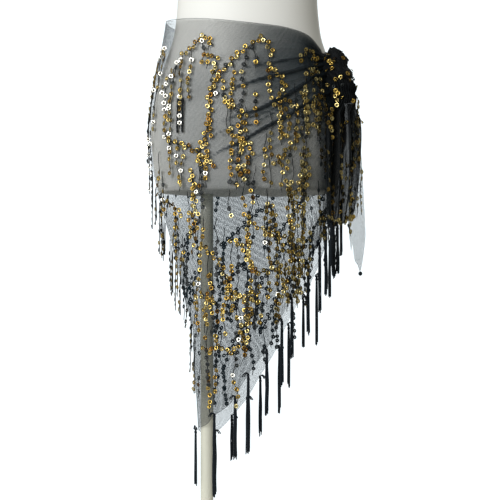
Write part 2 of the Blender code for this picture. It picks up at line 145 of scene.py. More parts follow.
# Edges of each stretch: share of the way to the knot, angle round from the left fold, height.
FRONT_TOP_EDGE = (
    (0.00, 0.0, 1.0170), (0.20, 31.0, 1.0110), (0.37, 57.0, 1.0057), (0.60, 92.0, 0.9954),
    (0.80, 123.0, 0.9889), (0.93, 143.0, 0.9790), (1.00, 154.0, 0.9600),
)
FRONT_HEM = (
    (0.00, 0.0, 0.3100), (0.09, 14.0, 0.3130), (0.26, 47.0, 0.3227), (0.36, 62.0, 0.3377),
    (0.50, 90.0, 0.3640), (0.60, 104.0, 0.4100), (0.68, 119.0, 0.4543), (0.74, 128.5, 0.4965),
    (0.80, 137.0, 0.5453), (0.85, 143.5, 0.5924), (0.90, 152.0, 0.6350), (0.94, 155.0, 0.7000),
    (0.97, 156.0, 0.7800), (1.00, 156.5, 0.8700),
)
BACK_TOP_EDGE = (
    (0.00, 0.0, 1.0170), (0.30, 60.0, 1.0060), (0.60, 120.0, 0.9900), (0.86, 172.0, 0.9680),
    (1.00, 200.0, 0.9580),
)
BACK_HEM = (
    (0.00, 0.0, 0.3085), (0.05, 10.0, 0.3065), (0.18, 39.0, 0.2980), (0.27, 61.0, 0.2950),
    (0.40, 93.0, 0.3220), (0.50, 114.5, 0.3584), (0.58, 126.0, 0.3970), (0.66, 140.0, 0.4400),
    (0.72, 148.0, 0.4896), (0.78, 157.0, 0.5325), (0.84, 168.0, 0.5720), (0.89, 177.0, 0.6200),
    (0.93, 185.0, 0.6900), (0.965, 192.0, 0.7800), (1.00, 197.5, 0.8700),
)
FRONT = {"top": FRONT_TOP_EDGE, "hem": FRONT_HEM, "side": 1}
BACK = {"top": BACK_TOP_EDGE, "hem": BACK_HEM, "side": -1}
STRETCHES = {"front": FRONT, "back": BACK}

# Soft flutes in the net that hangs free below the form.
FLUTE_DEPTH = 0.0032
FLUTE_COUNT = 7
FLUTE_TOP = 0.715
FLUTE_FULL = 0.580

# The knot at the hip.
KNOT_MIDDLE = Vector((0.2235, -0.0510, 0.9130))
KNOT_RADII = Vector((0.0230, 0.0300, 0.0470))
KNOT_FULLNESS_ABOVE = 2.3
KNOT_FULLNESS_BELOW = 3.6
KNOT_LEAN = 0.0100
KNOT_BOTTOM = 0.8712
KNOT_WRAPS = 3
KNOT_TWIST = Vector((0.5, -0.4, 1.3))
KNOT_WRAP_DEPTH = 0.0022
KNOT_CLOTH_CLEAR = 0.0024
KNOT_GATHER = 0.60
KNOT_COLUMNS = 96
KNOT_ROWS = 64

# Tails: height, left end across and along, right end across and along, pleat depth.
FRONT_TAIL = (
    (0.6640, 0.2030, -0.0790, 0.2450, -0.0470, 0.0040),
    (0.7200, 0.2010, -0.0830, 0.2570, -0.0410, 0.0045),
    (0.7800, 0.2000, -0.0850, 0.2625, -0.0380, 0.0050),
    (0.8400, 0.2010, -0.0830, 0.2625, -0.0385, 0.0042),
    (0.8704, 0.2105, -0.0710, 0.2500, -0.0440, 0.0026),
)
SIDE_TAIL = (
    (0.5830, 0.2470, -0.0230, 0.2740, -0.0010, 0.0012),
    (0.6400, 0.2450, -0.0240, 0.2755, 0.0000, 0.0016),
    (0.7000, 0.2440, -0.0250, 0.2730, -0.0010, 0.0018),
    (0.8000, 0.2440, -0.0265, 0.2660, -0.0060, 0.0016),
    (0.8704, 0.2400, -0.0360, 0.2520, -0.0270, 0.0006),
)
FRONT_TAIL_HEM = ((0.0, 0.6690), (0.35, 0.6650), (0.7, 0.6660), (1.0, 0.6740))
SIDE_TAIL_HEM = (
    (0.00, 0.6420), (0.07, 0.6190), (0.15, 0.6300), (0.24, 0.6060), (0.50, 0.5945), (0.72, 0.5840),
    (0.88, 0.6060), (1.00, 0.6450),
)
FRONT_TAIL_PLEATS = 3.5
SIDE_TAIL_PLEATS = 1.0
TAIL_TOP_ON_KNOT = 0.9060
TAIL_LEAVES_KNOT = 0.8440
TAIL_ON_KNOT_LEFT = -134.0
TAIL_ON_KNOT_RIGHT = 18.0
TAIL_OFF_KNOT = 0.0016
SIDE_TAIL_GATHER = 0.18
SIDE_TAIL_GATHER_TOP = 0.62
FRONT_TAIL_GRID = (180, 130)
SIDE_TAIL_GRID = (60, 90)
TAIL_FLAT_WIDTH = 0.075
TAIL_WRINKLE = 0.0009
TIP_SHARE = 0.72
TIP_BEAD_RADIUS = 0.0032

# Tassels on each hem: the place along it, in columns of the net, and the whole length.
FRONT_COLUMNS = 38
BACK_COLUMNS = 40
COLUMN_CROWDING = 0.40
FRONT_TASSELS = (
    (2, 0.102), (11, 0.142), (16, 0.106), (19, 0.134), (22, 0.113), (25, 0.115), (27, 0.104),
    (30, 0.123), (32, 0.118), (33, 0.112),
)
BACK_TASSELS = (
    (6, 0.100), (9, 0.108), (13, 0.080), (16, 0.102), (19, 0.109), (23, 0.120), (25, 0.116),
    (28, 0.090), (31, 0.124), (34, 0.100), (36, 0.095),
)
TAIL_TASSELS = ((0.08, 0.084), (0.27, 0.094), (0.46, 0.088))
TASSEL_HEAD_RADIUS = 0.0030
TASSEL_TOP_SHARE = 0.60
TASSEL_RISE = 0.0012
TASSEL_SEAT_GAP = 0.0008
TAIL_TASSEL_DROP = 0.0006
YARNS_IN_TASSEL = 9
TASSEL_HOOK_SIDE = -1
YARN_RADIUS = 0.00092

# Pull folds: (share, drop) points, half width, height, how closed up the gathered net is, which
# also paints its colour darker as shade, start fade.
FRONT_FOLDS = (
    (((0.36, 0.265), (0.395, 0.238), (0.448, 0.200), (0.498, 0.181), (0.545, 0.176),
      (0.602, 0.167), (0.662, 0.160), (0.745, 0.157), (0.795, 0.155), (0.91, 0.157),
      (1.00, 0.190)), 0.0036, 0.0042, 1.00, 0.42),
    (((0.47, 0.158), (0.548, 0.133), (0.607, 0.124), (0.681, 0.119), (0.795, 0.114),
      (0.90, 0.118), (1.00, 0.150)), 0.0021, 0.0026, 0.80, 0.30),
    (((0.42, 0.285), (0.512, 0.255), (0.602, 0.250), (0.660, 0.238), (0.729, 0.224),
      (0.793, 0.212), (0.883, 0.195), (1.00, 0.250)), 0.0044, 0.0048, 1.00, 0.30),
    (((0.33, 0.378), (0.431, 0.348), (0.476, 0.333), (0.533, 0.324), (0.598, 0.310),
      (0.643, 0.300), (0.698, 0.293), (0.760, 0.283), (0.812, 0.281), (0.88, 0.276),
      (1.00, 0.380)), 0.0034, 0.0040, 0.92, 0.36),
    (((0.30, 0.325), (0.448, 0.295), (0.538, 0.271), (0.629, 0.260), (0.702, 0.250),
      (0.769, 0.243), (0.88, 0.225), (1.00, 0.300)), 0.0015, 0.0020, 0.55, 0.30),
    (((0.36, 0.322), (0.469, 0.300), (0.574, 0.286), (0.662, 0.267), (0.743, 0.257),
      (0.831, 0.252), (0.92, 0.255), (1.00, 0.340)), 0.0013, 0.0018, 0.50, 0.26),
    (((0.70, 0.405), (0.750, 0.395), (0.795, 0.379), (0.860, 0.376), (0.957, 0.470),
      (1.00, 0.560)), 0.0016, 0.0022, 0.45, 0.16),
    (((0.74, 0.480), (0.769, 0.469), (0.802, 0.457), (0.852, 0.457), (0.938, 0.538),
      (1.00, 0.680)), 0.0018, 0.0022, 0.38, 0.14),
    (((0.50, 0.110), (0.571, 0.093), (0.655, 0.081), (0.748, 0.076), (0.826, 0.079),
      (0.92, 0.090), (1.00, 0.110)), 0.0016, 0.0018, 0.32, 0.24),
    (((0.50, 0.090), (0.550, 0.081), (0.645, 0.062), (0.731, 0.050), (0.84, 0.050),
      (1.00, 0.070)), 0.0014, 0.0016, 0.24, 0.22),
    (((0.52, 0.216), (0.62, 0.205), (0.72, 0.190), (0.82, 0.182), (0.92, 0.178),
      (1.00, 0.210)), 0.0015, 0.0020, 0.45, 0.22),
    (((0.20, 0.300), (0.243, 0.321), (0.283, 0.343), (0.343, 0.352), (0.405, 0.345),
      (0.46, 0.320)), 0.0030, 0.0018, 0.12, 0.10),
    (((0.36, 0.440), (0.50, 0.400), (0.62, 0.372), (0.72, 0.360), (0.84, 0.380),
      (0.94, 0.480)), 0.0022, 0.0024, 0.24, 0.24),
    (((0.40, 0.520), (0.54, 0.490), (0.66, 0.470), (0.78, 0.500), (0.88, 0.600)),
     0.0026, 0.0024, 0.16, 0.20),
    (((0.14, 0.180), (0.24, 0.190), (0.34, 0.176), (0.42, 0.150)), 0.0026, 0.0016, 0.10, 0.12),
)
BACK_FOLDS = (
    (((0.40, 0.300), (0.52, 0.240), (0.66, 0.200), (0.80, 0.180), (0.92, 0.180), (1.00, 0.220)),
     0.0036, 0.0044, 0.95, 0.40),
    (((0.46, 0.120), (0.60, 0.110), (0.75, 0.105), (0.88, 0.112), (1.00, 0.150)),
     0.0022, 0.0028, 0.55, 0.30),
    (((0.30, 0.380), (0.46, 0.345), (0.60, 0.310), (0.74, 0.290), (0.88, 0.300), (1.00, 0.400)),
     0.0030, 0.0036, 0.80, 0.40),
    (((0.36, 0.470), (0.52, 0.430), (0.66, 0.410), (0.80, 0.420), (0.92, 0.500), (1.00, 0.660)),
     0.0024, 0.0030, 0.45, 0.34),
    (((0.50, 0.180), (0.64, 0.160), (0.78, 0.146), (0.90, 0.146), (1.00, 0.180)),
     0.0016, 0.0022, 0.45, 0.26),
    (((0.42, 0.560), (0.58, 0.540), (0.72, 0.550), (0.86, 0.620), (0.96, 0.760)),
     0.0022, 0.0026, 0.22, 0.26),
    (((0.55, 0.060), (0.70, 0.056), (0.85, 0.062), (1.00, 0.090)), 0.0016, 0.0020, 0.28, 0.26),
    (((0.44, 0.350), (0.58, 0.275), (0.70, 0.240), (0.84, 0.226), (1.00, 0.300)),
     0.0014, 0.0020, 0.45, 0.28),
)

# How the net closes up: over the hips, at the right, at the knot, at the fold, hanging free.
# The more it closes up, the darker its colour is painted too: painted shade in the folds, by the
# knot and towards the right.
GATHER_ACROSS = 0.150
GATHER_ACROSS_RIGHT = 0.125
GATHER_TOP = 0.040
GATHER_RIGHT = 0.300
GATHER_FAN = 0.095
GATHER_KNOT = 0.54
GATHER_FOLD = 0.07
GATHER_FOLD_TOP = 0.120
GATHER_HANGING = 0.125
GATHER_EDGE = 0.34

# Sequins.
SEQUIN_DIAMETER = 0.0080
SEQUIN_PITCH = 0.0088
SEQUIN_SIDES = 10
SEQUIN_LIFT = 0.0016
SEQUIN_OFF_KNOT = 0.0026
SEQUIN_OFF_TAIL = 0.0022

# How a tassel's yarns lie: how far out they hang, their neck, their binding and their hooks.
TASSEL_OUT = 0.0012
YARN_STEPS = 22
NECK_DROP = 0.0075
NECK_HEIGHT = 0.0028
BINDING_TURNS = 4
BINDING_STEPS = 10
BINDING_DROP = 0.0058
BINDING_HEIGHT = 0.0036
BINDING_GIRTH = 0.55
HOOKS = (0.0075, 0.0105)
HOOK_GIRTH = 1.15
YARN_SIDES = 6

# The ball of yarn at the side tail's point.
TIP_STEPS = 120
TIP_STEPS_ROUND = 11
TIP_GIRTH = 1.5

# Strings of thread, and the pairs of them that are twisted.
STRING_RADIUS = 0.00070
STRING_SIDES = 4
STRING_LIFT = 0.0012
STRING_OFF_TAIL = 0.0024
PLIES = 2
STRAY_BACKS = 0.05
TWISTED_PAIRS = (0.292, 0.318)
TWISTED_DROP = 0.200
TWISTED_LENGTH = 0.057
BORDER = 0.030

# Strings spread over the net: from, to and how many, in shares and in drops, then how many of
# them are kept and their least and greatest length.
FRONT_STRINGS = (
    ((0.05, 0.34, 4), (0.12, 0.36, 2), 0.9, 0.04, 0.10),
    ((0.46, 0.93, 11), (0.14, 0.44, 3), 0.97, 0.04, 0.09),
    ((0.04, 0.92, 10), (0.44, 0.86, 4), 0.78, 0.05, 0.12),
    ((0.03, 0.32, 5), (0.36, 0.60, 2), 0.85, 0.05, 0.11),
    ((0.58, 0.94, 6), (0.42, 0.80, 2), 0.9, 0.05, 0.10),
)
BACK_STRINGS = (((0.05, 0.92, 12), (0.40, 0.88, 4), 0.60, 0.06, 0.13),)

# Sprays over the front: where the arch starts and peaks, in shares and drops, and how far its
# short end falls.
FRONT_SPRAYS = (
    (0.180, 0.182, 0.405, 0.046, 0.024),
    (0.457, 0.150, 0.655, 0.045, 0.056),
    (0.800, 0.125, 0.885, 0.080, 0.045),
    (0.035, 0.150, 0.130, 0.068, 0.034),
)
# Trails of sequins: where each starts and ends, in shares and drops, and how far it sways.
FRONT_TRAILS = (
    (0.450, 0.155, 0.384, 0.372, 0.014),
    (0.445, 0.092, 0.455, 0.146, 0.008),
    (0.492, 0.200, 0.572, 0.345, 0.020),
    (0.572, 0.345, 0.530, 0.430, 0.012),
    (0.668, 0.130, 0.750, 0.290, 0.014),
    (0.842, 0.150, 0.870, 0.190, 0.010),
    (0.805, 0.215, 0.775, 0.300, 0.022),
    (0.775, 0.300, 0.900, 0.290, 0.016),
    (0.790, 0.340, 0.650, 0.420, 0.018),
    (0.785, 0.440, 0.720, 0.560, 0.010),
    (0.225, 0.285, 0.440, 0.372, 0.014),
    (0.352, 0.376, 0.318, 0.510, 0.012),
    (0.080, 0.420, 0.250, 0.480, 0.012),
    (0.330, 0.560, 0.590, 0.790, 0.018),
    (0.460, 0.560, 0.690, 0.760, 0.018),
    (0.440, 0.700, 0.620, 0.760, 0.014),
    (0.230, 0.640, 0.400, 0.740, 0.014),
    (0.220, 0.800, 0.470, 0.850, 0.014),
    (0.620, 0.520, 0.740, 0.760, 0.014),
    (0.533, 0.507, 0.780, 0.790, 0.010),
    (0.690, 0.480, 0.735, 0.740, 0.012),
    (0.765, 0.500, 0.770, 0.760, 0.012),
)


def read_table(table, key):
    """Read a table's other columns at a value of its first, on a smooth curve."""
    if key <= table[0][0]:
        return table[0][1:]
    if key >= table[-1][0]:
        return table[-1][1:]
    last = len(table) - 1
    index = max(i for i in range(last) if table[i][0] <= key)
    before, low = table[max(index - 1, 0)], table[index]
    high, after = table[index + 1], table[min(index + 2, last)]
    span = high[0] - low[0]
    share = (key - low[0]) / span
    values = []
    for column in range(1, len(low)):
        slope_low = (high[column] - before[column]) / (high[0] - before[0]) * span
        slope_high = (after[column] - low[column]) / (after[0] - low[0]) * span
        rise = high[column] - low[column]
        bend = share * (1 - share)
        values.append(low[column] + share * rise
                      + bend * ((1 - share) * (slope_low - rise) - share * (slope_high - rise)))
    return tuple(values)


def smooth_step(low, high, value):
    """Go smoothly from 0 at low to 1 at high."""
    share = min(max((value - low) / (high - low), 0.0), 1.0)
    return share * share * (3 - 2 * share)


def between(low, high, share):
    """The value a share of the way from low to high."""
    return low + (high - low) * share


# Places on the form and the net.


def notch_lift(across, height):
    """How far the form's underside rises between its two soft lobes."""
    fade = 1 - smooth_step(0, NOTCH_REACH, height - FORM_BOTTOM)
    return NOTCH_HEIGHT * fade * exp(-(((across - NOTCH_PLACE) / NOTCH_WIDTH) ** 2))


def form_ring(height, inset, drop=0.0):
    """One ring of the form, drawn in by an inset and let down by a drop."""
    half, front, back = read_table(FORM_SECTIONS, height)
    ring = []
    for column in range(FORM_COLUMNS):
        angle = 2 * pi * column / FORM_COLUMNS
        depth = front if sin(angle) > 0 else back
        across = FORM_CENTRE - (half - inset) * cos(angle)
        along = -(depth - inset) * sin(angle)
        ring.append(Vector((across, along, height + notch_lift(across, height) - drop)))
    return ring


@lru_cache(maxsize=None)
def halves_at(millimetre):
    """The net's middle and its reach left, right, front and back at a whole millimetre."""
    height = millimetre / 1000
    middle, left, right, front, back = read_table(CLOTH_SECTIONS, height)
    reach = [middle - left, right - middle, front, back]
    if height >= FORM_BOTTOM:
        off = CLOTH_CLEAR + CLOTH_WALL
        half, form_front, form_back = read_table(FORM_SECTIONS, height)
        least = (half + off, half + off, form_front + off, form_back + off)
        reach = [max(pair) for pair in zip(reach, least)]
    return (middle, *reach)


def cloth_halves(height):
    """The net's middle and its reach left, right, front and back at a height."""
    low = floor(height * 1000)
    share = height * 1000 - low
    return [between(a, b, share) for a, b in zip(halves_at(low), halves_at(low + 1))]


def flute(angle, height):
    """How far a soft upright fold stands out in the part that hangs free."""
    depth = FLUTE_DEPTH * (1 - smooth_step(FLUTE_FULL, FLUTE_TOP, height))
    return depth * sin(FLUTE_COUNT * angle) * min(1.0, height / FLUTE_FULL)


def cloth_point(angle, height, rise):
    """A point on the net's outside at an angle round from the left, and the way out of it."""
    middle, left, right, front, back = cloth_halves(height)
    half = left if cos(angle) > 0 else right
    depth = front if sin(angle) > 0 else back
    way_out = Vector((-cos(angle) / half, -sin(angle) / depth, 0)).normalized()
    point = Vector((middle - half * cos(angle), -depth * sin(angle), height))
    return point + way_out * (rise + flute(abs(angle), height)), way_out


@lru_cache(maxsize=None)
def edge_line(name, share):
    """The net's top edge and hem at a share of the way to the knot."""
    stretch = STRETCHES[name]
    return read_table(stretch["top"], share) + read_table(stretch["hem"], share)


def net_place(name, share, drop):
    """The angle and height of a place on a stretch of the net."""
    top_angle, top_height, hem_angle, hem_height = edge_line(name, share)
    angle = radians(between(top_angle, hem_angle, drop)) * STRETCHES[name]["side"]
    return angle, between(top_height, hem_height, drop)


def net_point(name, share, drop, rise=0.0):
    """A point on a stretch of the net, and the way out of it."""
    angle, height = net_place(name, share, drop)
    point, way_out = cloth_point(angle, height, rise)
    point.y -= STRETCHES[name]["side"] * FOLD_SEAM * (1 - share)
    return point, way_out


def keep_outside(point, clear):
    """Push a point out of the net, sideways, where it would be in it."""
    middle, left, right, front, back = cloth_halves(point.z)
    across, along = point.x - middle, point.y
    half = (left if across < 0 else right) + clear
    depth = (front if along < 0 else back) + clear
    reach = hypot(across / half, along / depth)
    if reach >= 1:
        return point.copy()
    reach = max(reach, 0.01)
    return Vector((middle + across / reach, along / reach, point.z))


def drop_length(name, share):
    """How long the net is from its top edge to its hem, at a share of the way to the knot."""
    _, top_height, _, hem_height = edge_line(name, share)
    return top_height - hem_height


# Meshes and objects.


def add_object(name, mesh, *materials):
    """Put a mesh in the scene as an object with its materials."""
    item = bpy.data.objects.new(name, mesh)
    bpy.context.scene.collection.objects.link(item)
    for material in materials:
        mesh.materials.append(material)
    mesh.shade_smooth()
    return item


def lofted_mesh(name, rings):
    """A mesh through closed rings of points, with fans over its ends."""
    shape = bmesh.new()
    made = [[shape.verts.new(point) for point in ring] for ring in rings]
    count = len(rings[0])
    for low, high in zip(made, made[1:]):
        for column in range(count):
            right = (column + 1) % count
            shape.faces.new((low[column], low[right], high[right], high[column]))
    for ring in (made[0], made[-1]):
        middle = shape.verts.new(sum((vert.co for vert in ring), Vector()) / count)
        for column in range(count):
            shape.faces.new((ring[column], ring[(column + 1) % count], middle))
    bmesh.ops.recalc_face_normals(shape, faces=shape.faces)
    mesh = bpy.data.meshes.new(name)
    shape.to_mesh(mesh)
    shape.free()
    return mesh


def turned_mesh(name, profile, sides):
    """A mesh turned round the pole's axis from (radius, height) points."""
    rings = []
    for radius, height in profile:
        rings.append([Vector((radius * cos(2 * pi * k / sides), radius * sin(2 * pi * k / sides),
                              height)) for k in range(sides)])
    return lofted_mesh(name, rings)


def sheet_mesh(name, rows, flat_places, gathers, turn_over):
    """An open sheet through rows of points, with its flat places as UVs and how gathered it is."""
    across = len(rows[0])
    faces = []
    for row in range(len(rows) - 1):
        for column in range(across - 1):
            corner = row * across + column
            faces.append((corner, corner + across, corner + across + 1, corner + 1))
    mesh = bpy.data.meshes.new(name)
    mesh.from_pydata([point for row in rows for point in row], [], faces)
    if turn_over:
        mesh.flip_normals()
    flat = [place for row in flat_places for place in row]
    layer = mesh.uv_layers.new(name="flat_net")
    for loop in mesh.loops:
        layer.data[loop.index].uv = flat[loop.vertex_index]
    gather = mesh.attributes.new("gather", "FLOAT", "POINT")
    gather.data.foreach_set("value", [value for row in gathers for value in row])
    return mesh


def lines_mesh(name, lines):
    """Loose lines of points; each line is its points and how thick it is, 1 being plain."""
    points, edges, girths = [], [], []
    for line, girth in lines:
        start = len(points)
        points.extend(line)
        edges.extend((start + i, start + i + 1) for i in range(len(line) - 1))
        girths.extend([girth] * len(line))
    mesh = bpy.data.meshes.new(name)
    mesh.from_pydata(points, edges, [])
    girth = mesh.attributes.new("girth", "FLOAT", "POINT")
    girth.data.foreach_set("value", girths)
    return mesh


# Geometry node trees.


def new_group(name, kind, inputs, outputs):
    """A node group with its named sockets, and its nodes for what goes in and comes out."""
    group = bpy.data.node_groups.new(name, kind)
    for way, sockets in (("INPUT", inputs), ("OUTPUT", outputs)):
        for label, socket in sockets:
            group.interface.new_socket(label, in_out=way, socket_type="NodeSocket" + socket)
    return group, group.nodes.new("NodeGroupInput"), group.nodes.new("NodeGroupOutput")


def new_tree(name, sizes):
    """A geometry node tree with a geometry in, named inputs and a geometry out."""
    geometry = ("Geometry", "Geometry")
    return new_group(name, "GeometryNodeTree", (geometry, *sizes), (geometry,))


def feed(tree, node, wires):
    """Wire sockets to a node's inputs or set their values, by input name or number."""
    for key, value in wires.items():
        if isinstance(value, bpy.types.NodeSocket):
            tree.links.new(value, node.inputs[key])
        else:
            node.inputs[key].default_value = value


def add_node(tree, kind, wires=None, **settings):
    """Add a node with its settings, and wire or set its inputs."""
    node = tree.nodes.new(kind)
    for label, value in settings.items():
        setattr(node, label, value)
    feed(tree, node, wires or {})
    return node


def worked_out(tree, operation, *values):
    """The result of one operation on values or sockets."""
    return add_node(tree, "ShaderNodeMath", dict(enumerate(values)),
                    operation=operation).outputs["Value"]


def ranged(tree, value, low, high, to_low, to_high, **settings):
    """A value carried from one range over to another."""
    return add_node(tree, "ShaderNodeMapRange",
                    {"Value": value, "From Min": low, "From Max": high, "To Min": to_low,
                     "To Max": to_high}, **settings).outputs["Result"]


def named_value(tree, label, kind="FLOAT"):
    """The socket that reads a named attribute."""
    node = add_node(tree, "GeometryNodeInputNamedAttribute", {"Name": label}, data_type=kind)
    return node.outputs["Attribute"]


def thread_tree():
    """Round thread along loose lines."""
    tree, start, end = new_tree("Thread along lines", (("Radius", "Float"), ("Sides", "Int"),
                                                       ("Material", "Material")))
    curve = add_node(tree, "GeometryNodeMeshToCurve", {"Mesh": start.outputs["Geometry"]})
    thickness = worked_out(tree, "MULTIPLY", named_value(tree, "girth"), start.outputs["Radius"])
    sized = add_node(tree, "GeometryNodeSetCurveRadius",
                     {"Curve": curve.outputs["Curve"], "Radius": thickness})
    length = add_node(tree, "GeometryNodeSplineParameter")
    marked = add_node(tree, "GeometryNodeStoreNamedAttribute",
                      {"Geometry": sized.outputs["Curve"], "Name": "along",
                       "Value": length.outputs["Length"]}, data_type="FLOAT", domain="POINT")
    ring = add_node(tree, "GeometryNodeCurvePrimitiveCircle",
                    {"Resolution": start.outputs["Sides"], "Radius": 1.0}, mode="RADIUS")
    turn = add_node(tree, "GeometryNodeSplineParameter")
    marked_ring = add_node(tree, "GeometryNodeStoreNamedAttribute",
                           {"Geometry": ring.outputs["Curve"], "Name": "around",
                            "Value": turn.outputs["Factor"]}, data_type="FLOAT", domain="POINT")
    tube = add_node(tree, "GeometryNodeCurveToMesh",
                    {"Curve": marked.outputs["Geometry"],
                     "Profile Curve": marked_ring.outputs["Geometry"], "Fill Caps": True})
    if "Scale" in tube.inputs:
        radius = add_node(tree, "GeometryNodeInputRadius")
        tree.links.new(radius.outputs["Radius"], tube.inputs["Scale"])
    whole = add_node(tree, "GeometryNodeRealizeInstances", {"Geometry": tube.outputs["Mesh"]})
    coloured = add_node(tree, "GeometryNodeSetMaterial",
                        {"Geometry": whole.outputs["Geometry"],
                         "Material": start.outputs["Material"]})
    tree.links.new(coloured.outputs["Geometry"], end.inputs["Geometry"])
    return tree


def sequin_tree():
    """A sequin at each point, turned and sized by the point's own values."""
    tree, start, end = new_tree("Sequins on points", (
        ("Sequin", "Object"), ("Diameter", "Float"), ("Back", "Material"), ("Face", "Material")))
    shape = add_node(tree, "GeometryNodeObjectInfo", {"Object": start.outputs["Sequin"]})
    turn = add_node(tree, "FunctionNodeEulerToRotation",
                    {"Euler": named_value(tree, "turn", "FLOAT_VECTOR")})
    size = worked_out(tree, "MULTIPLY", named_value(tree, "size"), start.outputs["Diameter"])
    placed = add_node(tree, "GeometryNodeInstanceOnPoints",
                      {"Points": start.outputs["Geometry"], "Instance": shape.outputs["Geometry"],
                       "Rotation": turn.outputs["Rotation"], "Scale": size})
    whole = add_node(tree, "GeometryNodeRealizeInstances",
                     {"Geometry": placed.outputs["Instances"]})
    backed = add_node(tree, "GeometryNodeSetMaterial",
                      {"Geometry": whole.outputs["Geometry"], "Material": start.outputs["Back"]})
    faced = add_node(tree, "GeometryNodeSetMaterial",
                     {"Geometry": backed.outputs["Geometry"],
                      "Selection": named_value(tree, "foil", "BOOLEAN"),
                      "Material": start.outputs["Face"]})
    tree.links.new(faced.outputs["Geometry"], end.inputs["Geometry"])
    return tree


def grown(item, tree, values):
    """Grow a tree on an object, and keep the result as the object's plain mesh."""
    modifier = item.modifiers.new("Growth", "NODES")
    modifier.node_group = tree
    for socket in tree.interface.items_tree:
        if socket.in_out == "INPUT" and socket.name in values:
            modifier[socket.identifier] = values[socket.name]
    bpy.context.view_layer.update()
    whole = item.evaluated_get(bpy.context.evaluated_depsgraph_get())
    mesh = bpy.data.meshes.new_from_object(whole)
    mesh.name = item.name
    item.modifiers.remove(modifier)
    item.data = mesh
    mesh.shade_smooth()
    return item


# Materials.


def new_material(name):
    """A material with its node tree and its shader."""
    material = bpy.data.materials.new(name)
    material.use_nodes = True
    return material, material.node_tree, material.node_tree.nodes["Principled BSDF"]


def object_place(tree):
    """The place on the object, in metres."""
    return add_node(tree, "ShaderNodeTexCoord").outputs["Object"]


def surface_value(tree, label):
    """The socket that reads a named value off the surface."""
    return add_node(tree, "ShaderNodeAttribute", attribute_name=label).outputs["Fac"]


def mottled(tree, mottle, scale, dark, light):
    """The mottle group placed in a material, over the whole object."""
    return add_node(tree, "ShaderNodeGroup", {"Place": object_place(tree), "Scale": scale,
                                              "Dark": dark, "Light": light}, node_tree=mottle)


def toned(tree, colour, share):
    """A colour made darker by a share."""
    return add_node(tree, "ShaderNodeVectorMath", {0: colour, "Scale": share},
                    operation="SCALE").outputs["Vector"]


def mottle_group():
    """A slow change between two colours, with a value that goes with it."""
    group, start, end = new_group(
        "Mottle", "ShaderNodeTree",
        (("Place", "Vector"), ("Scale", "Float"), ("Dark", "Color"), ("Light", "Color")),
        (("Colour", "Color"), ("Value", "Float")))
    noise = add_node(group, "ShaderNodeTexNoise",
                     {"Vector": start.outputs["Place"], "Scale": start.outputs["Scale"],
                      "Detail": 4.0, "Roughness": 0.6})
    mixed = add_node(group, "ShaderNodeMix",
                     {0: noise.outputs["Fac"], 6: start.outputs["Dark"],
                      7: start.outputs["Light"]}, data_type="RGBA")
    feed(group, end, {"Colour": mixed.outputs[2], "Value": noise.outputs["Fac"]})
    return group


def net_group():
    """The net's threads round small holes: a mask of thread, thicker where it is gathered."""
    group, start, end = new_group(
        "Net weave", "ShaderNodeTree",
        (("Place", "Vector"), ("Pitch", "Float"), ("Thread", "Float"), ("Gather", "Float")),
        (("Thread", "Float"), ("Height", "Float")))
    scale = worked_out(group, "DIVIDE", 1.0, start.outputs["Pitch"])
    cells = add_node(group, "ShaderNodeTexVoronoi",
                     {"Vector": start.outputs["Place"], "Scale": scale, "Randomness": 0.16},
                     voronoi_dimensions="2D", feature="DISTANCE_TO_EDGE")
    wide = worked_out(group, "MULTIPLY_ADD", start.outputs["Gather"], THREAD_PER_GATHER,
                      start.outputs["Thread"])
    inner = worked_out(group, "MULTIPLY", wide, 1 - THREAD_SOFTNESS)
    outer = worked_out(group, "MULTIPLY", wide, 1 + THREAD_SOFTNESS)
    mask = ranged(group, cells.outputs["Distance"], inner, outer, 1.0, 0.0,
                  interpolation_type="SMOOTHSTEP")
    feed(group, end, {"Thread": mask, "Height": mask})
    return group


def bump_into(tree, shader, height, strength, distance):
    """Give a material a bump from a height."""
    bump = add_node(tree, "ShaderNodeBump", {"Height": height, "Strength": strength,
                                             "Distance": distance})
    feed(tree, shader, {"Normal": bump.outputs["Normal"]})


def net_material(weave, mottle, name, thread, crinkled, dark, light):
    """Sheer black net: threads with open holes between them, its colour painted darker where it is
    gathered, as shade in its folds.
    """
    material, tree, shader = new_material(name)
    flat = add_node(tree, "ShaderNodeUVMap", uv_map="flat_net").outputs["UV"]
    turned = add_node(tree, "ShaderNodeMapping",
                      {"Vector": flat, "Rotation": (0, 0, radians(WEAVE_TURN))}).outputs["Vector"]
    crinkle = add_node(tree, "ShaderNodeTexWave",
                       {"Vector": turned, "Scale": 44.0, "Distortion": 5.0, "Detail": 2.0,
                        "Detail Scale": 0.7}, wave_type="BANDS")
    uneven = worked_out(tree, "MULTIPLY_ADD", crinkle.outputs["Fac"], crinkled,
                        surface_value(tree, "gather"))
    kept = worked_out(tree, "MINIMUM", uneven, GATHER_MOST)
    threads = add_node(tree, "ShaderNodeGroup", {"Place": turned, "Pitch": WEAVE_PITCH,
                                                 "Thread": thread, "Gather": kept},
                       node_tree=weave)
    tones = mottled(tree, mottle, 40.0, dark, light)
    # Painted shade: the more gathered the net, the darker its colour, standing in for the shade in
    # its folds.
    shade = ranged(tree, kept, 0.25, 0.70, 1.0, 0.30)
    bump_into(tree, shader, threads.outputs["Height"], 0.35, 0.0003)
    feed(tree, shader, {"Base Color": toned(tree, tones.outputs["Colour"], shade),
                        "Alpha": threads.outputs["Thread"], "Roughness": 0.72,
                        "Sheen Weight": 0.02, "Sheen Roughness": 0.45,
                        "Specular IOR Level": 0.12})
    return material


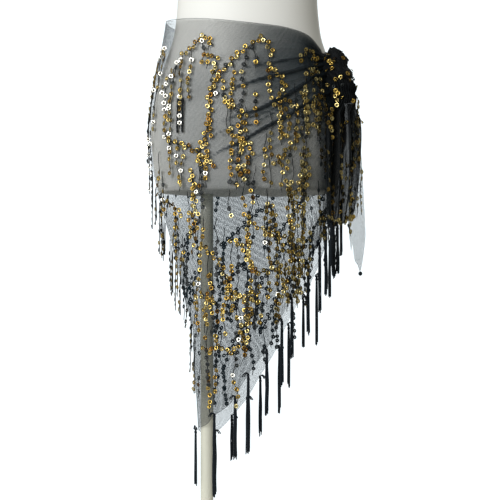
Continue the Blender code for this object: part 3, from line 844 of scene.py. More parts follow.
def thread_material(mottle, name, dark, light, roughness, pitch):
    """Twisted thread: slanting plies, painted darker in the grooves between them as shade."""
    material, tree, shader = new_material(name)
    steps = worked_out(tree, "DIVIDE", surface_value(tree, "along"), pitch)
    slant = worked_out(tree, "MULTIPLY_ADD", surface_value(tree, "around"), PLIES, steps)
    plies = worked_out(tree, "SINE", worked_out(tree, "MULTIPLY", slant, 2 * pi))
    tones = mottled(tree, mottle, 260.0, dark, light)
    # Painted shade: the colour falls to under half in the grooves between the plies.
    ply_groove_shade = ranged(tree, plies, -1.0, 1.0, 0.45, 1.0)
    bump_into(tree, shader, plies, 0.6, 0.0002)
    feed(tree, shader, {"Base Color": toned(tree, tones.outputs["Colour"], ply_groove_shade),
                        "Roughness": roughness, "Specular IOR Level": 0.22,
                        "Sheen Weight": 0.02})
    return material


def foil_material(mottle):
    """Gold foil: each sequin has its own tone, with fine rubs; the top tone is near white, a
    painted highlight.
    """
    material, tree, shader = new_material("gold_foil")
    ramp = add_node(tree, "ShaderNodeValToRGB", {"Fac": surface_value(tree, "tone")})
    ramp.color_ramp.elements[0].color = (0.26, 0.13, 0.026, 1)
    # Tone 1.0 is near white: a painted highlight for the sequins turned to the lamp.
    ramp.color_ramp.elements[1].color = (1.0, 0.98, 0.90, 1)
    for place, colour in ((0.93, (0.94, 0.80, 0.38, 1)), (0.45, (0.58, 0.40, 0.098, 1))):
        ramp.color_ramp.elements.new(place).color = colour
    rub = mottled(tree, mottle, 700.0, (0.72, 0.70, 0.66, 1), (1, 1, 1, 1))
    colour = add_node(tree, "ShaderNodeMix", {0: 1.0, 6: ramp.outputs["Color"],
                                              7: rub.outputs["Colour"]},
                      data_type="RGBA", blend_type="MULTIPLY")
    rough = ranged(tree, rub.outputs["Value"], 0.0, 1.0, 0.16, 0.34)
    bump_into(tree, shader, rub.outputs["Value"], 0.08, 0.0002)
    feed(tree, shader, {"Base Color": colour.outputs[2], "Roughness": rough, "Metallic": 1.0})
    return material


def plain_material(mottle, name, dark, light, scale, rough_low, rough_high, coat=0.0, bump=0.05):
    """A hard finish with a slow change of tone and of gloss."""
    material, tree, shader = new_material(name)
    tones = mottled(tree, mottle, scale, dark, light)
    fine = add_node(tree, "ShaderNodeTexNoise", {"Vector": object_place(tree),
                                                 "Scale": scale * 24, "Detail": 2.0})
    rough = ranged(tree, tones.outputs["Value"], 0.0, 1.0, rough_low, rough_high)
    bump_into(tree, shader, fine.outputs["Fac"], bump, 0.0005)
    feed(tree, shader, {"Base Color": tones.outputs["Colour"], "Roughness": rough,
                        "Coat Weight": coat, "Coat Roughness": 0.12})
    return material


def make_materials():
    """Every finish of the dressed form."""
    mottle, weave = mottle_group(), net_group()
    return {
        "net": net_material(weave, mottle, "sheer_net", 0.048, 0.03,
                            (0.004, 0.012, 0.018, 1), (0.014, 0.032, 0.044, 1)),
        # A darker copy of the sheer net for the knot and the front tail: its denser weave is real,
        # its darker colour is painted shade.
        "bunched": net_material(weave, mottle, "bunched_net", 0.26, 0.05,
                                (0.002, 0.003, 0.004, 1), (0.006, 0.010, 0.012, 1)),
        "cord": thread_material(mottle, "sewing_thread", (0.003, 0.005, 0.006, 1),
                                (0.012, 0.017, 0.020, 1), 0.6, 0.0016),
        "yarn": thread_material(mottle, "viscose_yarn", (0.002, 0.005, 0.009, 1),
                                (0.010, 0.020, 0.031, 1), 0.42, 0.0032),
        "foil": foil_material(mottle),
        "back": plain_material(mottle, "sequin_back", (0.003, 0.006, 0.007, 1),
                               (0.012, 0.017, 0.019, 1), 300.0, 0.28, 0.45),
        "form": plain_material(mottle, "satin_shell", (0.80, 0.79, 0.745, 1),
                               (0.86, 0.85, 0.815, 1), 6.0, 0.42, 0.55, bump=0.03),
        "stand": plain_material(mottle, "cream_enamel", (0.70, 0.69, 0.575, 1),
                                (0.78, 0.77, 0.66, 1), 14.0, 0.16, 0.26, coat=0.4, bump=0.02),
    }


# The form and its stand.


def build_form(materials):
    """The limbless form, smooth, with soft lobes under it and a plain top."""
    rings = []
    inwards = UNDERSIDE_RINGS[::-1]
    for (low_inset, low_drop), (high_inset, high_drop) in zip(inwards, inwards[1:]):
        for step in range(UNDERSIDE_STEPS):
            share = step / UNDERSIDE_STEPS
            rings.append(form_ring(FORM_BOTTOM, between(low_inset, high_inset, share),
                                   between(low_drop, high_drop, share)))
    side = FORM_TOP - FORM_EDGE_ROUND - FORM_BOTTOM
    for step in range(FORM_ROWS + 1):
        rings.append(form_ring(FORM_BOTTOM + side * step / FORM_ROWS, 0.0))
    for step in range(1, EDGE_STEPS + 1):
        turn = radians(90 * step / EDGE_STEPS)
        height = FORM_TOP - FORM_EDGE_ROUND + FORM_EDGE_ROUND * sin(turn)
        rings.append(form_ring(height, FORM_EDGE_ROUND * (1 - cos(turn))))
    form = add_object("form_shell", lofted_mesh("form_shell", rings), materials["form"])
    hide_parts("dress_form")
    return form


def build_stand(materials):
    """The round base and the pole."""
    edge = [(BASE_RADIUS, 0.0)]
    for step in range(EDGE_STEPS + 1):
        turn = radians(90 * step / EDGE_STEPS)
        edge.append((BASE_RADIUS - BASE_EDGE_ROUND * (1 - cos(turn)),
                     BASE_THICKNESS - BASE_EDGE_ROUND * (1 - sin(turn))))
    edge.append((POLE_RADIUS + RING_OFF_POLE, BASE_THICKNESS))
    base = add_object("round_base", turned_mesh("round_base", edge, BASE_SIDES),
                      materials["stand"])
    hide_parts("stand_base")
    low = BASE_THICKNESS + FIT_GAP
    high = FORM_BOTTOM - UNDERSIDE_RINGS[-1][1] - FIT_GAP
    profile = [(POLE_RADIUS, between(low, high, row / POLE_ROWS)) for row in range(POLE_ROWS + 1)]
    pole = add_object("pole", turned_mesh("pole", profile, POLE_SIDES), materials["stand"])
    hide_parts("stand_pole")
    return [base, pole]


# The net.


def fold_shape(folds, share):
    """The folds that cross a column: drop, half width, height and darkness."""
    crossing = []
    for line, width, height, darkness, fade in folds:
        first, last = line[0][0], line[-1][0]
        if share < first or share > last:
            continue
        strength = smooth_step(first, first + fade, share)
        if last < 0.98:
            strength *= 1 - smooth_step(last - fade, last, share)
        drop, = read_table(line, share)
        crossing.append((drop, width * (0.30 + 0.70 * strength), height * strength,
                         darkness * strength ** 0.6))
    return crossing


def net_rows(count):
    """Drops of the net's rows, closer together at both edges."""
    last = EDGE_ROWS[-1]
    drops = [*EDGE_ROWS]
    drops += [between(last, 1 - last, (row + 1) / count) for row in range(count)]
    return drops + [1 - drop for drop in reversed(EDGE_ROWS[:-1])]


def net_state(folds, share, drop, length):
    """How far the net stands out at a place, and how gathered it is there, which also sets its
    painted shade.
    """
    rise = 0.0
    to_right = smooth_step(0.45, 0.75, share)
    low = smooth_step(between(0.05, 0.14, to_right), between(0.18, 0.34, to_right), drop)
    over_top = GATHER_TOP + GATHER_RIGHT * smooth_step(0.38, 0.87, share)
    over_hips = between(GATHER_ACROSS, GATHER_ACROSS_RIGHT, to_right)
    gather = between(over_top, over_hips * smooth_step(0.0, 0.44, share), low)
    below_edge = smooth_step(0.0, 0.06, drop)
    gather += GATHER_KNOT * smooth_step(0.80, 0.98, share) * below_edge
    gather += GATHER_FOLD * (1 - smooth_step(0.0, 0.09, share))
    gather += (GATHER_FOLD_TOP * (1 - smooth_step(0.08, 0.22, share))
               * (1 - smooth_step(0.06, 0.18, drop)))
    gather += (GATHER_FAN * smooth_step(0.50, 0.66, share) * smooth_step(0.04, 0.14, drop)
               * (1 - smooth_step(0.28, 0.40, drop)))
    gather = max(gather, GATHER_HANGING * smooth_step(0.40, 0.50, drop))
    for line_drop, width, height, darkness in folds:
        away = abs(drop - line_drop) * length / width
        if away < 2.6:
            rise = max(rise, height * exp(-1.6 * away * away))
            gather = max(gather, darkness * (1 - smooth_step(0.45, 1.35, away)))
    edge = min(drop, 1 - drop) * length
    gather = max(gather, GATHER_EDGE * (1 - smooth_step(0.0004, 0.0016, edge)))
    return rise, gather


def build_net(name, folds, columns, rows, materials):
    """One wound stretch of the net as a thin sheet with its pull folds."""
    points, flats, gathers = [], [], []
    lean = BACK_WEAVE_LEAN if name == "back" else 0.0
    shares = [column / columns for column in range(columns + 1)]
    crossing = [fold_shape(folds, share) for share in shares]
    lengths = [max(drop_length(name, share), 0.05) for share in shares]
    for drop in net_rows(rows):
        line, flat, gather_line = [], [], []
        for share, folds_here, length in zip(shares, crossing, lengths):
            rise, gather = net_state(folds_here, share, drop, length)
            point, _ = net_point(name, share, drop, rise - CLOTH_WALL / 2)
            angle, height = net_place(name, share, drop)
            line.append(point)
            across = abs(angle) * METRES_EACH_RADIAN
            flat.append((across, height + lean * across))
            gather_line.append(gather)
        points.append(line)
        flats.append(flat)
        gathers.append(gather_line)
    mesh = sheet_mesh("net_" + name, points, flats, gathers, name == "back")
    net = add_object("net_" + name, mesh, materials["net"])
    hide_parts("scarf_" + name)
    return net


def knot_point(direction, depth=KNOT_WRAP_DEPTH):
    """A point of the knot, with its wraps, kept off the net under it."""
    turn = KNOT_WRAPS * pi * direction.dot(KNOT_TWIST)
    round_share = sqrt(max(1 - direction.z ** 2, 0.0))
    fullness = KNOT_FULLNESS_ABOVE if direction.z > 0 else KNOT_FULLNESS_BELOW
    full_share = (1 - abs(direction.z) ** fullness) ** (1 / fullness)
    swell = full_share / max(round_share, 0.01)
    shape = Vector((direction.x * swell, direction.y * swell, direction.z))
    point = KNOT_MIDDLE + Vector([a * b for a, b in zip(shape, KNOT_RADII)])
    point.x -= KNOT_LEAN * direction.z
    wrinkle = 0.0007 * sin(5 * turn + 9 * direction.y) + 0.0005 * sin(19 * direction.x + turn)
    point += direction * (depth * cos(turn) + wrinkle)
    point.z = max(point.z, KNOT_BOTTOM)
    middle, _, right, front, _ = cloth_halves(point.z)
    right, front = right + KNOT_CLOTH_CLEAR, front + KNOT_CLOTH_CLEAR
    across, along = (point.x - middle) / right, point.y / front
    if sqrt(across ** 2 + along ** 2) < 1:
        point.x = middle + right * sqrt(max(1 - along ** 2, 0.0))
    return point


def build_knot(materials):
    """The knot, a lump of wound net with its turns and wrinkles."""
    shape = bmesh.new()
    bmesh.ops.create_uvsphere(shape, u_segments=KNOT_COLUMNS, v_segments=KNOT_ROWS, radius=1.0)
    for vert in shape.verts:
        vert.co = knot_point(vert.co.normalized(), KNOT_WRAP_DEPTH * 1.25)
    bmesh.ops.recalc_face_normals(shape, faces=shape.faces)
    mesh = bpy.data.meshes.new("knot_wraps")
    shape.to_mesh(mesh)
    shape.free()
    layer = mesh.uv_layers.new(name="flat_net")
    for loop in mesh.loops:
        place = mesh.vertices[loop.vertex_index].co
        layer.data[loop.index].uv = (place.x + place.y, place.z)
    # The knot is closely gathered all over, which also paints its colour darker as shade.
    gather = mesh.attributes.new("gather", "FLOAT", "POINT")
    gather.data.foreach_set("value", [KNOT_GATHER] * len(mesh.vertices))
    knot = add_object("knot_wraps", mesh, materials["bunched"])
    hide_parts("knot")
    return knot


def tail_point(sections, pleats, share, height):
    """A point of a tail that hangs in upright pleats, and the way out of it."""
    left_x, left_y, right_x, right_y, depth = read_table(sections, height)
    left, right = Vector((left_x, left_y, height)), Vector((right_x, right_y, height))
    run = right - left
    way_out = Vector((run.y, -run.x, 0)).normalized()
    return left + run * share + way_out * (depth * sin(2 * pi * pleats * share)), way_out


def knot_face(share, height):
    """A place just off the knot's outer face, at a share across the front tail."""
    azimuth = radians(between(TAIL_ON_KNOT_LEFT, TAIL_ON_KNOT_RIGHT, share))
    fall = min(max((height - KNOT_MIDDLE.z) / KNOT_RADII.z, -0.80), 0.95)
    flat = sqrt(1 - fall * fall)
    direction = Vector((cos(azimuth) * flat, sin(azimuth) * flat, fall))
    place = knot_point(direction)
    out = Vector((cos(azimuth), sin(azimuth), 0))
    return Vector((place.x, place.y, height)) + out * TAIL_OFF_KNOT, out


def front_tail_place(share, height):
    """A point of the front tail, which spreads over the knot's face and hangs from it."""
    slide = 0.010 * sin(21 * height + 9 * share) + 0.006 * sin(57 * height + 23 * share)
    slid = min(max(share + slide * sin(pi * share), 0.0), 1.0)
    place, way_out = tail_point(FRONT_TAIL, FRONT_TAIL_PLEATS, slid, height)
    on_knot = smooth_step(TAIL_LEAVES_KNOT, KNOT_BOTTOM + 0.004, height)
    if on_knot > 0:
        over, out = knot_face(share, height)
        place = place.lerp(over, on_knot)
        way_out = way_out.lerp(out, on_knot).normalized()
    return place, way_out


def side_tail_place(share, height):
    """A point of the side tail."""
    return tail_point(SIDE_TAIL, SIDE_TAIL_PLEATS, share, height)


def build_tail(name, node, top, place_at, hem, pleats, across, down, gathered, material):
    """A tail of net from the knot to its hem."""
    points, flats, gathers = [], [], []
    for row in range(down + 1):
        line, flat, gather_line = [], [], []
        for column in range(across + 1):
            share = column / across
            low, = read_table(hem, share)
            height = between(top, low, row / down)
            point, way_out = place_at(share, height)
            fine = sin(2 * pi * (pleats * 4.3 * share + 0.5 * sin(9 * height)))
            fine += 0.6 * sin(2 * pi * (pleats * 7.7 * share + 0.3 * sin(17 * height)))
            line.append(point + way_out * (gathered * TAIL_WRINKLE * fine))
            flat.append((share * TAIL_FLAT_WIDTH * (1 + 2 * gathered), height))
            # Painted shade: the net is made denser and darker in the troughs of its wrinkles.
            trough_shade = 0.5 - 0.25 * fine
            edge = smooth_step(0.988, 0.996, row / down)
            low_down = 1 - smooth_step(0.700, 0.775, height)
            thin = 1 - (0.06 + 0.60 * low_down) * smooth_step(0.50, 0.80, share)
            thin *= 1 - 0.25 * low_down * (1 - smooth_step(0.04, 0.14, share))
            # Denser and darker towards the top, just under the knot: partly the net crowded there,
            # partly painted shade under the knot.
            upper = smooth_step(0.745, 0.845, height)
            loose = between(SIDE_TAIL_GATHER, SIDE_TAIL_GATHER_TOP, upper)
            gather_line.append(max(gathered * thin * (0.30 + 0.42 * trough_shade), 0.22 * edge, loose))
        points.append(line)
        flats.append(flat)
        gathers.append(gather_line)
    tail = add_object(name, sheet_mesh(name, points, flats, gathers, False), material)
    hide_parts(node)
    return tail


# Sequins, thread and yarn.


def smooth_line(points, step):
    """A smooth line through (share, drop) points, in small steps."""
    line = []
    count = len(points)
    for index in range(count - 1):
        a = points[max(index - 1, 0)]
        b, c = points[index], points[index + 1]
        d = points[min(index + 2, count - 1)]
        pieces = max(2, ceil(hypot((c[0] - b[0]) * 0.6, (c[1] - b[1]) * 0.7) / step))
        for piece in range(pieces):
            t = piece / pieces
            line.append(tuple(
                0.5 * (2 * q + (r - p) * t + (2 * p - 5 * q + 4 * r - s) * t * t
                       + (3 * q - p - 3 * r + s) * t * t * t)
                for p, q, r, s in zip(a, b, c, d)))
    line.append(points[-1])
    return line


def facing(way_out, tilt_side, tilt_up, spin):
    """The turn that lays a sequin flat to a surface, tilted and spun a little."""
    base = way_out.to_track_quat("Z", "Y")
    return (base.to_matrix() @ Euler((tilt_up, tilt_side, spin)).to_matrix()).to_euler()


class Trimming:
    """Sequins and thread gathered for one side of the scarf."""

    def __init__(self, seed):
        self.random = Random(seed)
        self.places = []
        self.turns = []
        self.sizes = []
        self.tones = []
        self.cords = []

    def add_sequin(self, place, way_out, tilt, flash=0.0, backs=STRAY_BACKS):
        """Put one sequin at a place, facing out, tilted a little; a few are turned to the lamp and
        painted near white, a painted highlight.
        """
        random = self.random
        flipped = pi if random.random() < backs else 0.0
        towards, tilted = way_out, tilt
        # Painted light: the base tone rises towards +X, making the sequins lighter on the side the
        # lamps leave in shade; round it the tone differs at random.
        tone_with_painted_light = 0.42 + 0.30 * smooth_step(0.09, 0.17, place.x)
        tone = min(max(random.gauss(tone_with_painted_light, 0.24), 0.0), 0.92)
        # These are turned between the spark lamp and the camera and given tone 1.0, which paints
        # them near white: a painted highlight.
        if random.random() < flash:
            to_lamp = (Vector(SPARK_LAMP_PLACE) - place).normalized()
            to_camera = (Vector(CAMERA_PLACE) - place).normalized()
            towards, tilted, flipped = (to_lamp + to_camera).normalized(), 0.04, 0.0
            tone = 1.0
        turn = facing(towards, random.uniform(-tilted, tilted) + flipped,
                      random.uniform(-tilted, tilted), random.uniform(0, 2 * pi))
        self.places.append(place)
        self.turns.append(turn)
        self.sizes.append(random.uniform(0.93, 1.06))
        self.tones.append(tone)

    def add_stem(self, name, stem):
        """A couched cord on the net with sequins sewn from side to side of it."""
        random = self.random
        line = smooth_line(stem, 0.002)
        walked, next_at, side = 0.0, 0.002, 1
        cord = []
        last = None
        for share, drop in line:
            point, way_out = net_point(name, share, drop, 0.0006)
            if last is not None:
                walked += (point - last[0]).length
                sideways = (point - last[0]).cross(way_out)
                if sideways.length > 1e-9:
                    sideways.normalize()
                wiggle = 0.0013 * sin(walked * 640) + 0.0006 * sin(walked * 1490)
                cord.append(point + sideways * wiggle)
                if walked >= next_at:
                    place = point + sideways * (side * random.uniform(0.0018, 0.0034))
                    place = keep_outside(place, SEQUIN_LIFT)
                    self.add_sequin(place, way_out, 0.34, flash_share(name, share, drop))
                    next_at += SEQUIN_PITCH * random.uniform(0.72, 0.98)
                    side = -side
            last = (point, way_out)
        self.cords.append((cord, 1.35))

    def add_string(self, start, length, bare_start, pitch, lean, tilt=0.5, flash=0.0):
        """A thread that hangs from a place on the net, with sequins strung along it."""
        random = self.random
        line = [start]
        place = start.copy()
        steps = max(4, ceil(length / 0.004))
        phase, sway = random.uniform(0, 6.3), random.uniform(0.0004, 0.0019)
        turns = random.uniform(0.35, 0.8)
        walked, next_at = 0.0, bare_start
        group_left = random.randint(3, 9)
        hangs_free = 1 - smooth_step(0.70, 0.78, start.z)
        hangs_left = 1 - 0.6 * smooth_step(0.07, 0.12, start.x)
        turned_over = random.random() < between(0.06, 0.20, hangs_free * hangs_left)
        backs = 0.90 if turned_over else STRAY_BACKS
        for step in range(steps):
            drift = lean + sway * cos(phase + step * turns) * 0.8
            middle, *_ = cloth_halves(max(place.z, 0.28))
            way_out = Vector((place.x - middle, place.y * 1.6, 0)).normalized()
            sideways = Vector((-way_out.y, way_out.x, 0))
            down = Vector((0, 0, -length / steps))
            place = keep_outside(place + down + sideways * drift, 0.0016)
            walked += length / steps
            line.append(place)
            if walked >= next_at and walked < length * 0.97:
                self.add_sequin(place + way_out * 0.0005, way_out, random.uniform(0.2, tilt),
                                flash, backs)
                group_left -= 1
                if group_left > 0:
                    next_at = walked + pitch * random.uniform(0.85, 1.10)
                else:
                    next_at = walked + pitch * random.uniform(1.5, 2.8)
                    group_left = random.randint(3, 9)
        self.cords.append((line, 1.0))

    def add_twisted_pair(self, start, length):
        """Two threads wound round each other that hang from a place, with no sequins."""
        for half_turn in (0.0, pi):
            line = []
            for step in range(49):
                down = length * step / 48
                turn = 2 * pi * down / 0.0085 + half_turn
                offset = Vector((0.0013 * cos(turn), 0.0010 * sin(turn) - 0.0012, -down))
                line.append(keep_outside(start + offset, 0.0016))
            self.cords.append((line, 1.6))


def flash_share(name, share, drop):
    """What share of the sequins at a place on the net are turned to the lamp and painted near white
    as a highlight.
    """
    if name == "back":
        return 0.0
    left = 1 - smooth_step(0.28, 0.46, share)
    high = 1 - smooth_step(0.30, 0.50, drop)
    return between(0.007, 0.24, left * high)


def string_from(trimming, name, share, drop, low, high):
    """Hang a string of a random length from a place on the net."""
    random = trimming.random
    start, _ = net_point(name, share, drop, STRING_LIFT)
    length = random.uniform(low, high)
    trimming.add_string(start, length, random.uniform(0.006, 0.04),
                        random.uniform(0.0080, 0.0096), random.uniform(-0.0004, 0.0004),
                        flash=flash_share(name, share, drop))


def spread_strings(trimming, name, shares, drops, kept, low, high):
    """Strings from places spread evenly over the net, clear of its plain border."""
    random = trimming.random
    for column in range(shares[2]):
        for row in range(drops[2]):
            share = between(shares[0], shares[1], (column + random.random()) / shares[2])
            drop = between(drops[0], drops[1], (row + random.random()) / drops[2])
            room = (1 - drop) * drop_length(name, share) - BORDER
            if room > 0.02 and random.random() < kept:
                string_from(trimming, name, share, drop, min(low, room), min(high, room + 0.02))


def fold_strings(trimming, name, count, top, bottom, reach):
    """Strings down the fold at the left, within a reach of it."""
    random = trimming.random
    for number in range(count):
        drop = between(top, bottom, (number + random.random()) / count)
        string_from(trimming, name, random.uniform(0.0, reach), drop, 0.05, 0.10)


def spray_line(low_share, low_drop, peak_share, peak_drop, fall):
    """A spray's arch: a scalloped climb to its peak, then a short fall."""
    line = []
    for step in range(11):
        way = step / 10
        climb = min(way + 0.13 * sin(pi * way) + 0.05 * sin(5 * pi * way) * way, 1.0)
        line.append((between(low_share, peak_share, way), between(low_drop, peak_drop, climb)))
    line.append((peak_share + 0.018, peak_drop + 0.40 * fall))
    line.append((peak_share + 0.030, peak_drop + fall))
    return line


def trail_line(random, from_share, from_drop, to_share, to_drop, sway):
    """A trail that wanders from one place on the net to another."""
    phase, turns = random.uniform(0, 6.3), random.uniform(0.8, 1.4)
    line = []
    for step in range(11):
        way = step / 10
        bend = sway * sin(phase + 2 * pi * turns * way) * sin(pi * way) ** 0.5
        line.append((between(from_share, to_share, way) + bend,
                     between(from_drop, to_drop, way) - 0.5 * bend))
    return line


def trim_front():
    """The front's sprays and trails, the strings from them, and more strings lower down."""
    trimming = Trimming(5)
    random = trimming.random
    stems = [spray_line(*spray) for spray in FRONT_SPRAYS]
    stems += [trail_line(random, *trail) for trail in FRONT_TRAILS]
    for number, stem in enumerate(stems):
        trimming.add_stem("front", stem)
        line = smooth_line(stem, 0.004)
        place = random.randint(4, 9)
        while place < len(line):
            share, drop = line[place]
            if drop < 0.86:
                string_from(trimming, "front", share, drop, 0.035, 0.11)
            place += random.randint(6, 13) if number < len(FRONT_SPRAYS) else random.randint(9, 18)
    for strings in FRONT_STRINGS:
        spread_strings(trimming, "front", *strings)
    for share in TWISTED_PAIRS:
        start, _ = net_point("front", share, TWISTED_DROP, STRING_LIFT)
        trimming.add_twisted_pair(start, TWISTED_LENGTH)
    fold_strings(trimming, "front", 15, 0.06, 0.66, 0.035)
    return trimming


def trim_back():
    """The back's sprays by the same rule: rows of long slopes and short drops, and strings."""
    trimming = Trimming(8)
    random = trimming.random
    for row in range(7):
        drop = 0.055 + row * 0.135
        share = 0.06 + 0.07 * (row % 2)
        while share < 0.86:
            reach = random.uniform(0.15, 0.20)
            fall = random.uniform(0.075, 0.105)
            stem = [(share, drop + fall), (share + reach * 0.3, drop + fall * 0.62),
                    (share + reach * 0.62, drop + fall * 0.2), (share + reach * 0.8, drop),
                    (share + reach * 0.95, drop + fall * 0.35)]
            length = drop_length("back", min(share + reach, 1.0))
            if (1 - drop - fall) * length > BORDER and stem[-1][0] < 0.95:
                trimming.add_stem("back", stem)
                for at_share, at_drop in smooth_line(stem, 0.004)[3::9]:
                    string_from(trimming, "back", at_share, at_drop, 0.03, 0.09)
            share += reach * 1.08
    for strings in BACK_STRINGS:
        spread_strings(trimming, "back", *strings)
    fold_strings(trimming, "back", 9, 0.10, 0.62, 0.03)
    return trimming


def trim_knot():
    """Sparse sequins on the knot and the front tail, most of them painted darker as shade, and the
    strings down their outer side.
    """
    trimming = Trimming(13)
    random = trimming.random
    for _ in range(24):
        angle, rise = random.uniform(-2.7, 0.7), random.uniform(-0.5, 0.88)
        flat = sqrt(1 - rise * rise)
        direction = Vector((cos(angle) * flat, sin(angle) * flat, rise))
        trimming.add_sequin(knot_point(direction) + direction * SEQUIN_OFF_KNOT, direction, 0.6)
        # Painted shade: the knot's sequins are made darker.
        trimming.tones[-1] *= 0.65
    for _ in range(32):
        share, height = random.uniform(0.02, 1.0), random.uniform(0.672, 0.890)
        place, way_out = front_tail_place(share, height)
        trimming.add_sequin(place + way_out * SEQUIN_OFF_TAIL, way_out, 0.8)
        # Painted shade: the tail's sequins are made darker still.
        trimming.tones[-1] *= 0.55
    for number in range(10):
        share, height = 0.07 + 0.05 * sin(2.1 * number), between(0.893, 0.824, number / 9)
        place, way_out = front_tail_place(share, height)
        trimming.add_sequin(place + way_out * SEQUIN_OFF_TAIL, way_out, 0.35)
    for number in range(12):
        share = 0.02 + 0.96 * number / 11
        low, = read_table(FRONT_TAIL_HEM, share)
        place, way_out = front_tail_place(share, low + random.uniform(0.001, 0.008))
        trimming.add_sequin(place + way_out * SEQUIN_OFF_TAIL, way_out, 0.4)
    for _ in range(12):
        share = between(0.74, 1.0, random.random())
        place, way_out = front_tail_place(share, random.uniform(0.72, 0.885))
        trimming.add_string(place + way_out * STRING_OFF_TAIL, random.uniform(0.04, 0.10),
                            0.006, 0.0085, 0.0, 0.9)
    for number in range(16):
        share = between(0.02, 0.9, (number + random.random()) / 16)
        place, way_out = front_tail_place(share, random.uniform(0.70, 0.87))
        trimming.add_string(place + way_out * STRING_OFF_TAIL, random.uniform(0.04, 0.09),
                            0.02, 0.0110, 0.0, 0.9)
    return trimming


def unit_sequin():
    """A cup sequin one unit across: a gold face with a hole, and a black back."""
    rings = ((0.14, 0.0), (0.33, 0.008), (0.50, 0.070))
    thickness = 0.02
    points, faces, foil = [], [], []
    for back in (0, 1):
        for radius, height in rings:
            for side in range(SEQUIN_SIDES):
                turn = 2 * pi * side / SEQUIN_SIDES
                points.append((radius * cos(turn), radius * sin(turn),
                               height - back * thickness))
    count = SEQUIN_SIDES
    for back in (0, 1):
        for ring in (0, 1):
            low = (back * 3 + ring) * count
            for side in range(count):
                right = (side + 1) % count
                face = (low + side, low + count + side, low + count + right, low + right)
                faces.append(face if back == 0 else tuple(reversed(face)))
                foil.append(back == 0)
    for ring, turned in ((0, True), (2, False)):
        for side in range(count):
            right = (side + 1) % count
            up, low = ring * count, (3 + ring) * count
            face = (up + side, low + side, low + right, up + right)
            faces.append(tuple(reversed(face)) if turned else face)
            foil.append(False)
    mesh = bpy.data.meshes.new("unit_sequin")
    mesh.from_pydata(points, [], faces)
    mark = mesh.attributes.new("foil", "BOOLEAN", "FACE")
    mark.data.foreach_set("value", foil)
    return add_object("unit_sequin", mesh)


def build_sequins(name, trimming, sequin, tree, materials):
    """The sequins of one side as one piece."""
    mesh = bpy.data.meshes.new(name)
    mesh.from_pydata(trimming.places, [], [])
    turn = mesh.attributes.new("turn", "FLOAT_VECTOR", "POINT")
    turn.data.foreach_set("vector", [value for euler in trimming.turns for value in euler])
    for label, values in (("size", trimming.sizes), ("tone", trimming.tones)):
        mesh.attributes.new(label, "FLOAT", "POINT").data.foreach_set("value", values)
    item = add_object(name, mesh)
    grown(item, tree, {"Sequin": sequin, "Diameter": SEQUIN_DIAMETER,
                       "Back": materials["back"], "Face": materials["foil"]})
    return item


def build_threads(name, lines, tree, radius, sides, material):
    """Thread along lines as one piece."""
    item = add_object(name, lines_mesh(name, lines))
    grown(item, tree, {"Radius": radius, "Sides": sides, "Material": material})
    return item


def tassel_lines(place, way_out, length, number):
    """The yarns of one tassel, looped over the hem and bound under it."""
    random = Random(100 + number)
    lines = []
    sideways = Vector((-way_out.y, way_out.x, 0))
    for yarn in range(YARNS_IN_TASSEL):
        turn = 2 * pi * yarn / (YARNS_IN_TASSEL - 1)
        ring = 0.0 if yarn == YARNS_IN_TASSEL - 1 else 1.0
        across, out = ring * cos(turn), ring * sin(turn)
        reach = length - random.uniform(0.0, 0.012)
        phase, sway = random.uniform(0, 6.3), random.uniform(0.0002, 0.0007)
        line = []
        for share in (1.0, 0.5):
            line.append(place + sideways * across * 0.0011 + Vector((0, 0, 0.0006 - 0.004 * share))
                        - way_out * TASSEL_OUT * (0.5 + share * 0.4))
        line.append(place + sideways * across * 0.0013 + Vector((0, 0, 0.0012)))
        for step in range(1, YARN_STEPS + 1):
            share = step / YARN_STEPS
            down = reach * share ** 1.15
            neck = 1 - 0.35 * exp(-(((down - NECK_DROP) / NECK_HEIGHT) ** 2))
            spread = between(0.0015, 0.0024, smooth_step(0.004, 0.06, down)) * neck
            bend = sway * sin(phase + share * 7.5) * smooth_step(0.01, 0.05, down)
            line.append(place + sideways * (across * spread + bend)
                        + way_out * (out * spread * 0.75 + TASSEL_OUT + bend * 0.5)
                        + Vector((0, 0, -down)))
        lines.append((line, random.uniform(0.88, 1.1)))
    binding = []
    steps = BINDING_TURNS * BINDING_STEPS
    for step in range(steps + 1):
        turn = 2 * pi * step / BINDING_STEPS
        binding.append(place + sideways * 0.0023 * cos(turn)
                       + way_out * (TASSEL_OUT + 0.0021 * sin(turn))
                       + Vector((0, 0, -BINDING_DROP - BINDING_HEIGHT * step / steps)))
    lines.append((binding, BINDING_GIRTH))
    for hook in HOOKS:
        loop = []
        for step in range(11):
            way = step / 10
            loop.append(place + sideways * (hook * (1 - way) * TASSEL_HOOK_SIDE)
                        + way_out * 0.0016
                        + Vector((0, 0, 0.0012 + hook * 0.40 * sin(pi * way) - 0.0050 * (1 - way))))
        lines.append((loop, HOOK_GIRTH))
    return lines


def column_share(count):
    """The share of the way to the knot at a count of the net's columns."""
    return count * (1 + COLUMN_CROWDING * (1 - count))


def hem_tassels(name, columns, tassels):
    """The yarns of every tassel along a wound stretch's hem."""
    lines = []
    for number, (column, length) in enumerate(tassels, start=1):
        point, way_out = net_point(name, column_share(column / columns), 1.0)
        place = point + way_out * (TASSEL_HEAD_RADIUS * TASSEL_TOP_SHARE + TASSEL_SEAT_GAP)
        place.z += TASSEL_RISE
        lines += tassel_lines(place, way_out, length, number + 20 * columns)
    return lines


def tail_tassel_lines():
    """The yarns of the tassels under the front tail's hem."""
    lines = []
    for number, (share, length) in enumerate(TAIL_TASSELS, start=1):
        low, = read_table(FRONT_TAIL_HEM, share)
        place, way_out = tail_point(FRONT_TAIL, FRONT_TAIL_PLEATS, share, low)
        place.z -= TAIL_TASSEL_DROP
        lines += tassel_lines(place, way_out, length, number + 7)
    return lines


